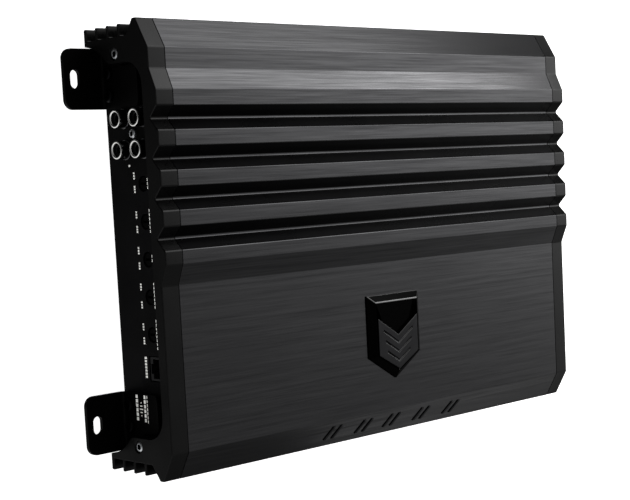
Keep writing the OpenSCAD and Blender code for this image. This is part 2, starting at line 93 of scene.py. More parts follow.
def middle_of(node: str) -> Vector:
    """Gives the middle of a frame node's box.

    Args:
        node: The node's name.

    Returns:
        The point in millimetres.
    """
    low, high = corners(node)
    return (low + high) / 2


def linear(hex_colour: str) -> tuple[float, float, float, float]:
    """Turns an sRGB hex colour into linear RGBA.

    Args:
        hex_colour: Six hex digits after a hash.

    Returns:
        Linear red, green, blue and an alpha of one.
    """
    values = []
    for start in (1, 3, 5):
        c = int(hex_colour[start:start + 2], 16) / 255
        values.append(c / 12.92 if c <= 0.04045 else ((c + 0.055) / 1.055) ** 2.4)
    return (values[0], values[1], values[2], 1.0)


def add_node(
    tree: bpy.types.NodeTree,
    kind: str,
    inputs: Optional[dict[Any, Any]] = None,
    **settings: Any,
) -> bpy.types.Node:
    """Adds one shader node.

    Args:
        tree: The node tree that gets it.
        kind: The node's type name.
        inputs: Input name or number to a socket to link from, or a plain value.
        **settings: Attributes of the node itself.

    Returns:
        The new node.
    """
    node = tree.nodes.new(kind)
    for key, value in settings.items():
        setattr(node, key, value)
    for key, value in (inputs or {}).items():
        if isinstance(value, bpy.types.NodeSocket):
            tree.links.new(value, node.inputs[key])
        else:
            node.inputs[key].default_value = value
    return node


# ---------------------------------------------------------------- finishes


@dataclass(frozen=True)
class Pattern:
    """What the pattern of a surface drives in its shader.

    Attributes:
        shade: Zero where the main colour shows, one where the shade does.
        polish: Swings the roughness about its middle value.
        relief: Height of the surface, from zero to one.
        relief_mm: Height in millimetres that one stands for.
        further: Other shader inputs by name.
    """

    shade: bpy.types.NodeSocket
    polish: bpy.types.NodeSocket
    relief: bpy.types.NodeSocket
    relief_mm: float
    further: dict[str, Any] = field(default_factory=dict)


@dataclass(frozen=True)
class Finish:
    """A surface finish. Subclasses lay the pattern of one kind of surface.

    Attributes:
        name: The material's name.
        colour: Main sRGB colour.
        shade: Second sRGB colour, reached in the darker parts of the pattern.
        roughness: Middle roughness.
        spread: How far the roughness swings either way.
        metallic: One for bare metal, zero for the rest.
        specular: Specular level, where a half is an ordinary dielectric.
        glow: Strength of its own white light.
    """

    name: str
    colour: str
    shade: str
    roughness: float
    spread: float = 0.08
    metallic: float = 0.0
    specular: float = 0.5
    glow: float = 0.0

    def material(self) -> bpy.types.Material:
        """Makes the material once and hands it back on later calls.

        Returns:
            The material.
        """
        made = bpy.data.materials.get(self.name)
        if made is None:
            made = bpy.data.materials.new(self.name)
            made.use_nodes = True
            made.diffuse_color = linear(self.colour)
            self.wire(made.node_tree)
        return made

    def wire(self, tree: bpy.types.NodeTree) -> None:
        """Wires the pattern to the colour, roughness and relief of one principled shader.

        Args:
            tree: The material's nodes.
        """
        tree.nodes.clear()
        place = add_node(tree, "ShaderNodeTexCoord").outputs["Object"]
        pattern = self.pattern(tree, place)
        colour = add_node(tree, "ShaderNodeMix", {
            0: pattern.shade, 6: linear(self.colour), 7: linear(self.shade),
        }, data_type="RGBA")
        roughness = add_node(tree, "ShaderNodeMapRange", {
            "Value": pattern.polish, "From Min": 0.3, "From Max": 0.7,
            "To Min": max(self.roughness - self.spread, 0.02),
            "To Max": min(self.roughness + self.spread, 1.0),
        })
        bump = add_node(tree, "ShaderNodeBump", {
            "Height": pattern.relief, "Distance": pattern.relief_mm * MM, "Strength": 1.0,
        })
        surface = add_node(tree, "ShaderNodeBsdfPrincipled", {
            "Base Color": colour.outputs[2],
            "Roughness": roughness.outputs["Result"],
            "Normal": bump.outputs["Normal"],
            "Metallic": self.metallic,
            "Specular IOR Level": self.specular,
            "Emission Color": (1.0, 1.0, 1.0, 1.0),
            "Emission Strength": self.glow,
            **pattern.further,
        })
        add_node(tree, "ShaderNodeOutputMaterial", {"Surface": surface.outputs["BSDF"]})

    def pattern(self, tree: bpy.types.NodeTree, place: bpy.types.NodeSocket) -> Pattern:
        """Lays the finish's own pattern.

        Args:
            tree: The material's nodes.
            place: Object coordinates in metres.

        Returns:
            The pattern.
        """
        raise NotImplementedError


@dataclass(frozen=True)
class GrainedFinish(Finish):
    """Paint, moulded plastic, cast resin and the like: a fine grain over a slow mottling.

    Attributes:
        grain_mm: Size of the grain.
        relief_mm: Height of the grain.
        mottle_mm: Size of the slow variation.
        shades: Product of grain and mottling at which the shade begins and is whole.
    """

    grain_mm: float = 0.5
    relief_mm: float = 0.012
    mottle_mm: float = 18.0
    shades: tuple[float, float] = (0.14, 0.38)

    def pattern(self, tree: bpy.types.NodeTree, place: bpy.types.NodeSocket) -> Pattern:
        """Lays grain for the relief and mottling for the roughness, and both for the colour.

        Args:
            tree: The material's nodes.
            place: Object coordinates in metres.

        Returns:
            The pattern.
        """
        mottle = add_node(tree, "ShaderNodeTexNoise", {
            "Vector": place, "Scale": 1 / (self.mottle_mm * MM), "Detail": 3.0,
        })
        grain = add_node(tree, "ShaderNodeTexNoise", {
            "Vector": place, "Scale": 1 / (self.grain_mm * MM), "Detail": 2.0,
        })
        blend = add_node(tree, "ShaderNodeMath", {
            0: mottle.outputs["Fac"], 1: grain.outputs["Fac"],
        }, operation="MULTIPLY")
        shade = add_node(tree, "ShaderNodeMapRange", {
            "Value": blend.outputs["Value"],
            "From Min": self.shades[0], "From Max": self.shades[1],
        })
        return Pattern(shade.outputs["Result"], mottle.outputs["Fac"], grain.outputs["Fac"],
                       self.relief_mm)


@dataclass(frozen=True)
class BrushedFinish(Finish):
    """Metal brushed along X before anodising.

    Attributes:
        streak_mm: Width of one fine streak.
        run_mm: Length of one fine streak.
        relief_mm: Depth of the fine streaks.
        broad_along: How often broad streaks change along X, as a share of the fine ones.
        broad_across: The same across X.
        broad_share: Part that the broad streaks have in the pattern.
        shades: Pattern values at which the shade begins and is whole.
        anisotropy: How far the sheen spreads across the streaks.
    """

    streak_mm: float = 0.6
    run_mm: float = 34.0
    relief_mm: float = 0.004
    broad_along: float = 0.5
    broad_across: float = 0.35
    broad_share: float = 0.35
    shades: tuple[float, float] = (0.34, 0.66)
    anisotropy: float = 0.35

    def pattern(self, tree: bpy.types.NodeTree, place: bpy.types.NodeSocket) -> Pattern:
        """Lays fine streaks over broad ones and spreads the sheen across them.

        Args:
            tree: The material's nodes.
            place: Object coordinates in metres.

        Returns:
            The pattern.
        """
        across = 1 / (self.streak_mm * MM)
        along = 1 / (self.run_mm * MM)
        fine_place = add_node(tree, "ShaderNodeMapping", {
            "Vector": place, "Scale": (along, across, across),
        })
        fine = add_node(tree, "ShaderNodeTexNoise", {
            "Vector": fine_place.outputs["Vector"], "Scale": 1.0, "Detail": 4.0,
            "Roughness": 0.65,
        })
        broad_across = across * self.broad_across
        broad_place = add_node(tree, "ShaderNodeMapping", {
            "Vector": place, "Location": (3.1, 7.7, 1.9),
            "Scale": (along * self.broad_along, broad_across, broad_across),
        })
        broad = add_node(tree, "ShaderNodeTexNoise", {
            "Vector": broad_place.outputs["Vector"], "Scale": 1.0, "Detail": 2.0,
        })
        both = add_node(tree, "ShaderNodeMix", {
            0: self.broad_share, 2: fine.outputs["Fac"], 3: broad.outputs["Fac"],
        })
        shade = add_node(tree, "ShaderNodeMapRange", {
            "Value": both.outputs[0],
            "From Min": self.shades[0], "From Max": self.shades[1],
        })
        direction = add_node(tree, "ShaderNodeTangent", direction_type="UV_MAP",
                             uv_map=STREAK_MAP)
        return Pattern(shade.outputs["Result"], both.outputs[0], fine.outputs["Fac"],
                       self.relief_mm, {"Anisotropic": self.anisotropy,
                                        "Tangent": direction.outputs["Tangent"]})


@dataclass(frozen=True)
class PlatedFinish(Finish):
    """Plated or bare machined metal: polishing haze and a few fine scratches.

    Attributes:
        haze_mm: Size of the cloudy patches.
        scratch_mm: Spacing of the fine scratches.
        relief_mm: Depth of the scratches.
        scratch_along: How often a scratch changes along its run, as a share of across.
        shades: Haze at which the shade begins and is whole.
    """

    haze_mm: float = 3.0
    scratch_mm: float = 0.35
    relief_mm: float = 0.004
    scratch_along: float = 0.12
    shades: tuple[float, float] = (0.35, 0.75)

    def pattern(self, tree: bpy.types.NodeTree, place: bpy.types.NodeSocket) -> Pattern:
        """Lays haze for the colour and roughness, and slanting scratches for the relief.

        Args:
            tree: The material's nodes.
            place: Object coordinates in metres.

        Returns:
            The pattern.
        """
        haze = add_node(tree, "ShaderNodeTexNoise", {
            "Vector": place, "Scale": 1 / (self.haze_mm * MM), "Detail": 4.0,
        })
        across = 1 / (self.scratch_mm * MM)
        drawn = add_node(tree, "ShaderNodeMapping", {
            "Vector": place, "Rotation": (0.3, 0.5, 0.9),
            "Scale": (across * self.scratch_along, across, across),
        })
        scratch = add_node(tree, "ShaderNodeTexNoise", {
            "Vector": drawn.outputs["Vector"], "Scale": 1.0, "Detail": 3.0,
        })
        shade = add_node(tree, "ShaderNodeMapRange", {
            "Value": haze.outputs["Fac"],
            "From Min": self.shades[0], "From Max": self.shades[1],
        })
        return Pattern(shade.outputs["Result"], haze.outputs["Fac"], scratch.outputs["Fac"],
                       self.relief_mm)


@dataclass(frozen=True)
class LaminateFinish(Finish):
    """Glass laminate circuit board: copper tracks showing under the lacquer, over a weave.

    Attributes:
        track_mm: Spacing of the tracks.
        track_relief_mm: Height of the tracks.
        weave_mm: Spacing of the glass threads.
        tracks: Distance in a cell at which a track begins and is whole.
    """

    track_mm: float = 3.2
    track_relief_mm: float = 0.03
    weave_mm: float = 0.6
    tracks: tuple[float, float] = (0.4, 0.46)

    def pattern(self, tree: bpy.types.NodeTree, place: bpy.types.NodeSocket) -> Pattern:
        """Lays angular tracks for colour and relief, and a weave for the roughness.

        Args:
            tree: The material's nodes.
            place: Object coordinates in metres.

        Returns:
            The pattern.
        """
        cells = add_node(tree, "ShaderNodeTexVoronoi", {
            "Vector": place, "Scale": 1 / (self.track_mm * MM), "Randomness": 0.55,
        }, distance="CHEBYCHEV")
        weave = add_node(tree, "ShaderNodeTexWave", {
            "Vector": place, "Scale": 0.16 / (self.weave_mm * MM), "Distortion": 0.4,
        })
        track = add_node(tree, "ShaderNodeMapRange", {
            "Value": cells.outputs["Distance"],
            "From Min": self.tracks[0], "From Max": self.tracks[1],
        }).outputs["Result"]
        return Pattern(track, weave.outputs["Fac"], track, self.track_relief_mm)


@dataclass(frozen=True)
class WoundFinish(Finish):
    """Enamelled wire wound round a ring, one turn beside the next.

    Attributes:
        ring: Frame node of the ring's core.
        turns: Turns in the whole ring.
        wire_mm: Height of a turn.
        wear_mm: Size of the patches of darker enamel.
    """

    ring: str = ""
    turns: int = 80
    wire_mm: float = 0.35
    wear_mm: float = 4.0

    def pattern(self, tree: bpy.types.NodeTree, place: bpy.types.NodeSocket) -> Pattern:
        """Lays rounded turns by the angle round the ring, and patches of darker enamel.

        Args:
            tree: The material's nodes.
            place: Object coordinates in metres.

        Returns:
            The pattern.
        """
        axis = middle_of(self.ring) * MM
        centred = add_node(tree, "ShaderNodeMapping", {
            "Vector": place, "Location": (-axis.x, -axis.y, 0.0),
        })
        angle = add_node(tree, "ShaderNodeTexGradient", {
            "Vector": centred.outputs["Vector"],
        }, gradient_type="RADIAL")
        phase = add_node(tree, "ShaderNodeMath", {
            0: angle.outputs["Fac"], 1: math.tau * self.turns,
        }, operation="MULTIPLY")
        wave = add_node(tree, "ShaderNodeMath", {0: phase.outputs["Value"]}, operation="SINE")
        turn = add_node(tree, "ShaderNodeMapRange", {
            "Value": wave.outputs["Value"], "From Min": -1.0, "From Max": 1.0,
        })
        wear = add_node(tree, "ShaderNodeTexNoise", {
            "Vector": place, "Scale": 1 / (self.wear_mm * MM), "Detail": 3.0,
        }).outputs["Fac"]
        return Pattern(wear, wear, turn.outputs["Result"], self.wire_mm)


# Black anodised 6063 aluminium, brushed along its length: dark metal whose sheen spreads across
# the brush lines. The real lines are some 0.05 mm wide; 0.6 mm is the finest that shows.
BRUSHED_ANODISING = BrushedFinish(
    "anodised_aluminium_brushed", "#404041", "#2a2a2b", 0.2, 0.05, metallic=1.0)
# The same anodising where it isn't brushed, on groove walls, sides and fins: its colour darkened
# to near black as painted shade of the grooves and sides.
PLAIN_ANODISING_PAINTED_SHADE = GrainedFinish(
    "anodised_aluminium_plain", "#121213", "#0b0b0c", 0.3, 0.05, metallic=1.0,
    grain_mm=0.4, relief_mm=0.004, mottle_mm=30.0)
# Die-cast aluminium end frames under satin baked enamel: deep black, no brush lines.
CAP_ENAMEL = GrainedFinish(
    "cast_cap_baked_enamel", "#030303", "#020202", 0.24, 0.04, specular=0.14,
    grain_mm=0.45, relief_mm=0.006, mottle_mm=24.0)
# The end faces of the same castings, blasted before the enamel: duller than the smooth rim.
CAP_BLASTED = GrainedFinish(
    "cast_cap_blasted_enamel", "#030303", "#020202", 0.5, 0.05, specular=0.05,
    grain_mm=0.6, relief_mm=0.01, mottle_mm=24.0)
# Steel end panels under flat black screen-ready paint: nearly no sheen.
PANEL_PAINT = GrainedFinish(
    "steel_panel_flat_paint", "#050506", "#030303", 0.55, 0.06, specular=0.028,
    grain_mm=0.5, relief_mm=0.006, mottle_mm=20.0)
# Steel feet, powder coated: deep black with a faint orange peel.
FOOT_POWDER = GrainedFinish(
    "steel_foot_powder_coat", "#030303", "#020202", 0.46, 0.07, specular=0.03,
    grain_mm=0.9, relief_mm=0.014, mottle_mm=15.0)
# Epoxy ink screened on the panel: warm white, slightly thin in places.
PRINT_INK = GrainedFinish(
    "screened_ink_white", "#e6e6e2", "#b9b9b5", 0.6, 0.05, specular=0.2,
    grain_mm=0.25, relief_mm=0.004, mottle_mm=3.0)
# Badge plate of ABS under gloss lacquer: a black so deep that its flats hardly reflect.
BADGE_GLOSS = GrainedFinish(
    "badge_abs_gloss_lacquer", "#020202", "#010101", 0.14, 0.03, specular=0.01,
    grain_mm=1.6, relief_mm=0.0008, mottle_mm=9.0)
# The same lacquer on the badge's rounded edges that lean toward the lamps, lighter and far
# glossier: a painted highlight.
BADGE_PAINTED_HIGHLIGHT = GrainedFinish(
    "badge_abs_lacquer_corner", "#060606", "#040404", 0.1, 0.03, specular=0.5,
    grain_mm=1.6, relief_mm=0.0008, mottle_mm=9.0)
# Badge inlay of satin anodised sheet: one dull grey black tone.
BADGE_SATIN = GrainedFinish(
    "badge_inlay_satin_anodised", "#262627", "#1c1c1d", 0.34, 0.05, metallic=1.0,
    grain_mm=0.35, relief_mm=0.003, mottle_mm=8.0)
# Nickel plate on the turned brass of the sockets: bright, slightly warm, faintly hazed.
NICKEL = PlatedFinish("brass_nickel_plated", "#ececea", "#cfcecb", 0.17, 0.06, metallic=1.0)
# The socket barrels behind their bright lips, in a darker copy of the nickel: painted shade, a
# dark grey mirror.
NICKEL_PAINTED_SHADE = PlatedFinish("brass_nickel_painted_shade", "#58585a", "#323233", 0.22, 0.06, metallic=1.0)
# Bright zinc on the casing screws: cooler and hazier than nickel.
ZINC = PlatedFinish("steel_zinc_plated", "#c4c6c8", "#8d9094", 0.3, 0.1, metallic=1.0)
# Black oxide on the foot screws: dark metal with dull highlights. The same dark metal paints
# shade inside the sockets of the zinc screws.
BLACK_OXIDE_AND_SOCKET_SHADE = PlatedFinish("steel_black_oxide", "#0f0f10", "#070707", 0.42, 0.1, metallic=1.0)
# Gold flash on the contacts: warm and clean.
GOLD = PlatedFinish("brass_gold_flashed", "#e6bf62", "#b78e3c", 0.24, 0.08, metallic=1.0)
# Turned brass of the wire clamps: duller yellow with handling stains.
BRASS = PlatedFinish("terminal_brass_turned", "#c9a356", "#8f6f33", 0.32, 0.1, metallic=1.0)
# Nickel-plated steel of the clamp set screws.
SCREW_NICKEL = PlatedFinish("set_screw_nickel_steel", "#a9a9a8", "#77777a", 0.3, 0.1,
                            metallic=1.0)
# Tinned copper blades of the fuses.
TINNED = PlatedFinish("fuse_blade_tinned_copper", "#b7bbc0", "#8c9095", 0.34, 0.1, metallic=1.0)
# Mill-finish aluminium of the clamp bars.
MILL_ALUMINIUM = PlatedFinish("clamp_bar_mill_aluminium", "#aeb0b2", "#84868a", 0.4, 0.1,
                              metallic=1.0, haze_mm=12.0, scratch_mm=0.6)
# Glass-filled nylon of the terminal and fuse blocks: matte, coarse mould grain.
CONNECTOR_NYLON = GrainedFinish(
    "connector_glass_filled_nylon", "#0b0b0c", "#060607", 0.48, 0.07, specular=0.12,
    grain_mm=0.55, relief_mm=0.02, mottle_mm=14.0)
# Socket inserts of black polyacetal: smoother and a little glossier.
INSERT_ACETAL = GrainedFinish(
    "socket_insert_acetal", "#060607", "#030303", 0.34, 0.05, specular=0.12,
    grain_mm=0.3, relief_mm=0.005, mottle_mm=4.0)
# Blue-grey phenolic bodies of the rotary controls.
CONTROL_PHENOLIC = GrainedFinish(
    "control_body_phenolic", "#22323c", "#18242c", 0.45, 0.06,
    grain_mm=0.4, relief_mm=0.01, mottle_mm=6.0)
# Dark nylon of the screwdriver shafts, darkened to near black with hardly any sheen as painted
# shade of the holes they sit in.
SHAFT_NYLON_PAINTED_SHADE = GrainedFinish(
    "control_shaft_nylon", "#020202", "#010101", 0.42, 0.06, specular=0.012,
    grain_mm=0.3, relief_mm=0.008, mottle_mm=3.0)
# Translucent nylon of the board supports: off-white and waxy.
SUPPORT_NYLON = GrainedFinish(
    "board_support_natural_nylon", "#e4e2d8", "#cfccbe", 0.42, 0.06,
    grain_mm=0.6, relief_mm=0.01, mottle_mm=5.0)
# Moulded epoxy of the transistor packages: fine matte black.
EPOXY = GrainedFinish(
    "transistor_moulded_epoxy", "#17171a", "#0f0f11", 0.56, 0.06,
    grain_mm=0.3, relief_mm=0.012, mottle_mm=5.0)
# Silicone heat pads: soft grey rubber.
SILICONE = GrainedFinish(
    "heat_pad_silicone", "#969ca2", "#7e848a", 0.62, 0.05,
    grain_mm=0.5, relief_mm=0.015, mottle_mm=6.0)
# Epoxy powder on the ferrite ring: dull green, slightly lumpy.
FERRITE = GrainedFinish(
    "transformer_core_epoxy_coat", "#33513d", "#243a2c", 0.5, 0.08,
    grain_mm=1.1, relief_mm=0.05, mottle_mm=10.0)
# Yellow coat of the iron powder ring.
IRON_POWDER = GrainedFinish(
    "inductor_core_yellow_coat", "#cfae36", "#a98a22", 0.5, 0.08,
    grain_mm=1.1, relief_mm=0.05, mottle_mm=9.0)
# Shrink sleeve of the bulk capacitors: dark blue-grey film.
SLEEVE = GrainedFinish(
    "capacitor_shrink_sleeve", "#262a36", "#1b1e28", 0.3, 0.06,
    grain_mm=2.2, relief_mm=0.02, mottle_mm=16.0)
# Fuse bodies of clear green polysulphone.
FUSE_PLASTIC = GrainedFinish(
    "fuse_body_green_polysulphone", "#2f9a5c", "#1d7a44", 0.24, 0.06,
    grain_mm=0.8, relief_mm=0.008, mottle_mm=7.0)
# Green lacquered glass laminate with tracks.
LAMINATE = LaminateFinish("board_glass_laminate", "#175a34", "#2c7d49", 0.36, 0.06)
# Enamelled copper on the two rings.
TRANSFORMER_WIRE = WoundFinish(
    "transformer_enamelled_copper", "#b9683a", "#8b451f", 0.3, 0.08, metallic=1.0,
    ring="transformer_core", turns=96, wire_mm=0.5)
INDUCTOR_WIRE = WoundFinish(
    "inductor_enamelled_copper", "#b9683a", "#8b451f", 0.3, 0.08, metallic=1.0,
    ring="inductor_core", turns=56, wire_mm=0.6)
# Matte white lacquered table top under the amplifier, lit from behind.
TABLE = GrainedFinish(
    "table_matte_white_lacquer", "#f4f4f3", "#efefee", 0.7, 0.05, specular=0.2,
    glow=0.95, grain_mm=3.0, relief_mm=0.02, mottle_mm=300.0)


# ---------------------------------------------------------------- mesh helpers


def merged_copy(node: str) -> bmesh.types.BMesh:
    """Copies a frame node's mesh and joins its loose triangles into clean faces.

    Args:
        node: The node's name.

    Returns:
        An editable mesh with flat regions as single faces.
    """
    bm = bmesh.new()
    bm.from_mesh(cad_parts[node].data)
    bmesh.ops.remove_doubles(bm, verts=bm.verts, dist=0.002 * MM)
    bmesh.ops.dissolve_limit(bm, angle_limit=math.radians(0.8), verts=bm.verts,
                             edges=bm.edges, delimit={"NORMAL"})
    return bm


def soften(
    bm: bmesh.types.BMesh,
    width_mm: float,
    segments: int = 2,
    sharper_than: float = 28.0,
    chosen: Optional[Callable[[bmesh.types.BMEdge], bool]] = None,
    clamp: bool = True,
) -> list[bmesh.types.BMFace]:
    """Rounds the sharp edges of a mesh.

    Args:
        bm: The mesh.
        width_mm: Width of the rounding along each face.
        segments: Strips in the rounding.
        sharper_than: Angle in degrees from which an edge counts as sharp.
        chosen: A further test that an edge has to pass.
        clamp: Narrows the rounding where edges are too close.

    Returns:
        The faces of the rounding.
    """
    limit = math.radians(sharper_than)
    edges = [
        e for e in bm.edges
        if len(e.link_faces) == 2 and e.calc_face_angle(0.0) > limit
        and (chosen is None or chosen(e))
    ]
    return bmesh.ops.bevel(bm, geom=edges, offset=width_mm * MM, offset_type="OFFSET",
                           segments=segments, profile=0.5, affect="EDGES", material=-1,
                           clamp_overlap=clamp)["faces"]


def plate(bm: bmesh.types.BMesh, low: Sequence[float],
          high: Sequence[float]) -> list[bmesh.types.BMVert]:
    """Adds a block between two corners.

    Args:
        bm: The mesh.
        low: Lowest corner in millimetres.
        high: Highest corner in millimetres.

    Returns:
        Its vertices.
    """
    a, b = Vector(low) * MM, Vector(high) * MM
    scale = Matrix.Diagonal((*(b - a), 1.0))
    return bmesh.ops.create_cube(
        bm, size=1.0, matrix=Matrix.Translation((a + b) / 2) @ scale)["verts"]


def turned(bm: bmesh.types.BMesh, outline: Iterable[tuple[float, float]], y: float, z: float,
           steps: int) -> None:
    """Turns a closed outline about an axis along X.

    Args:
        bm: The mesh.
        outline: Points as X and radius, in millimetres, in order round the section.
        y: The axis's Y in millimetres.
        z: The axis's Z in millimetres.
        steps: Facets round the turn.
    """
    verts = [bm.verts.new((x * MM, y * MM, (z + r) * MM)) for x, r in outline]
    edges = [bm.edges.new((verts[i - 1], v)) for i, v in enumerate(verts)]
    bmesh.ops.spin(bm, geom=verts + edges, cent=(0.0, y * MM, z * MM), axis=(1.0, 0.0, 0.0),
                   angle=math.tau, steps=steps, use_merge=True, use_duplicate=False)


def close_seams(bm: bmesh.types.BMesh) -> None:
    """Merges the seams and poles of turned shapes and points their faces outwards.

    Args:
        bm: The mesh.
    """
    bmesh.ops.remove_doubles(bm, verts=bm.verts, dist=0.001 * MM)
    bmesh.ops.recalc_face_normals(bm, faces=bm.faces)


@dataclass(frozen=True)
class ButtonScrew:
    """A button head screw along X with a hexagon socket.

    Attributes:
        face: Distance of the head's face from the middle of the casing.
        head: Radius of the head.
        height: Height of the head.
        shank: Radius of the shank.
        length: Length of the shank.
        socket_share: Radius over the socket's corners as a share of the head's.
        depth_share: Depth of the socket as a share of the head's height.
        cone: Depth of the drilled cone at the socket's bottom.
        mouth_edge: Rounding of the edges round the head's face.
        steps: Facets round the head, a multiple of six.
    """

    face: float
    head: float
    height: float
    shank: float
    length: float
    socket_share: float = 0.56
    depth_share: float = 0.62
    cone: float = 0.35
    mouth_edge: float = 0.06
    steps: int = 48

    @classmethod
    def like(cls, node: str, height: float, shank: float, length: float) -> "ButtonScrew":
        """Takes the head's place and radius from the screws of a frame node.

        Args:
            node: The node.
            height: Height of the head.
            shank: Radius of the shank.
            length: Length of the shank.

        Returns:
            The screw.
        """
        low, high = corners(node)
        return cls(max(-low.x, high.x), (high.z - low.z) / 2, height, shank, length)

    def outline(self) -> list[tuple[float, float]]:
        """Gives the section of the screw, from its socket's mouth round to the bottom.

        Returns:
            Points as X from the head's face and radius.
        """
        h, r = self.height, self.head
        socket, depth = r * self.socket_share, h * self.depth_share
        return [
            (0.0, socket), (0.0, r * 0.68), (h * 0.1, r * 0.86), (h * 0.3, r * 0.97),
            (h * 0.55, r), (h, r), (h, self.shank), (h + self.length, self.shank),
            (h + self.length, 0.0), (depth + self.cone, 0.0), (depth, socket),
        ]

    def shape_socket(self, part: bmesh.types.BMesh) -> None:
        """Draws the socket's round wall in to six flats and gives its inside the second finish,
        a painted shade.

        Args:
            part: The turned screw, its face at zero.
        """
        socket, depth = self.head * self.socket_share, self.height * self.depth_share
        for vert in part.verts:
            radius = math.hypot(vert.co.y, vert.co.z)
            if vert.co.x < (depth + 0.1) * MM and abs(radius - socket * MM) < 0.01 * MM:
                turn = math.atan2(vert.co.z, vert.co.y) % (math.pi / 3) - math.pi / 6
                flat = math.cos(math.pi / 6) / math.cos(turn)
                vert.co.y *= flat
                vert.co.z *= flat
        close_seams(part)
        soften(part, self.mouth_edge, 1, 40.0,
               lambda e: all(v.co.x < depth * MM * 0.5 for v in e.verts))
        for face in part.faces:
            # Faces inside the socket take the second, darker finish as painted shade.
            middle = face.calc_center_median() / MM
            in_socket = math.hypot(middle.y, middle.z) < socket
            if in_socket and 0.1 < middle.x < depth + self.cone + 0.05:
                face.material_index = 1

    def add(self, bm: bmesh.types.BMesh, end: End, y: float, z: float) -> None:
        """Adds the screw to a mesh, its head toward its end of the casing.

        Args:
            bm: The mesh.
            end: The end that its head faces.
            y: The axis's Y.
            z: The axis's Z.
        """
        part = bmesh.new()
        turned(part, self.outline(), 0.0, 0.0, self.steps)
        self.shape_socket(part)
        about = Matrix.Rotation(math.pi if end is End.OUTPUT else 0.0, 4, "Z")
        place = Matrix.Translation(Vector((end.value * self.face, y, z)) * MM)
        bmesh.ops.transform(part, matrix=place @ about, verts=part.verts)
        scratch = bpy.data.meshes.new("screw_scratch")
        part.to_mesh(scratch)
        part.free()
        bm.from_mesh(scratch)
        bpy.data.meshes.remove(scratch)


def finish_piece(
    name: str,
    bm: bmesh.types.BMesh,
    finishes: Sequence[Finish],
    body: str = MAIN_BODY,
    stands_for: Optional[str] = None,
    soft_angle: float = 50.0,
) -> None:
    """Turns a mesh into a finished piece that rides on its body.

    Args:
        name: The piece's name.
        bm: Its mesh, which is freed.
        finishes: Its finishes in material order.
        body: The body that it rides on.
        stands_for: Frame node that it replaces.
        soft_angle: Edges flatter than this many degrees are shaded smooth.
    """
    mesh = bpy.data.meshes.new(name)
    bm.to_mesh(mesh)
    bm.free()
    for polygon in mesh.polygons:
        polygon.use_smooth = True
    mesh.set_sharp_from_angle(angle=math.radians(soft_angle))
    for each in finishes:
        mesh.materials.append(each.material())
    piece = bpy.data.objects.new(name, mesh)
    bpy.context.scene.collection.objects.link(piece)
    weighted = piece.modifiers.new("even_shading", "WEIGHTED_NORMAL")
    weighted.keep_sharp = True
    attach(piece, body)
    if stands_for:
        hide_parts(stands_for)
    log.info("%s: %d faces on %s", name, len(mesh.polygons), body)


def stand_in(node: str, bm: bmesh.types.BMesh, finishes: Sequence[Finish],
             body: str = MAIN_BODY, how: str = "finished", soft_angle: float = 50.0) -> None:
    """Puts a finished piece in the place of a frame node and hides the node.

    Args:
        node: The node.
        bm: The piece's mesh, which is freed.
        finishes: Its finishes in material order.
        body: The body that it rides on.
        how: How the piece was made, which ends its name.
        soft_angle: Edges flatter than this many degrees are shaded smooth.
    """
    finish_piece(f"{node}_{how}", bm, finishes, body, node, soft_angle)


def refined(node: str, finish: Finish, width_mm: float, body: str = MAIN_BODY,
            segments: int = 2) -> None:
    """Stands in for a frame node with the same shape, its sharp edges rounded.

    Args:
        node: The node.
        finish: Its finish.
        width_mm: Width of the edge rounding.
        body: The body that it rides on.
        segments: Strips in the rounding.
    """
    bm = merged_copy(node)
    soften(bm, width_mm, segments)
    stand_in(node, bm, [finish], body)


def dress_node(node: str, finish: Finish) -> None:
    """Gives a frame node that keeps its own mesh its finish.

    Args:
        node: The node.
        finish: Its finish.
    """
    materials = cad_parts[node].data.materials
    materials.clear()
    materials.append(finish.material())
    log.info("%s: dressed as %s", node, finish.name)


# ---------------------------------------------------------------- casing


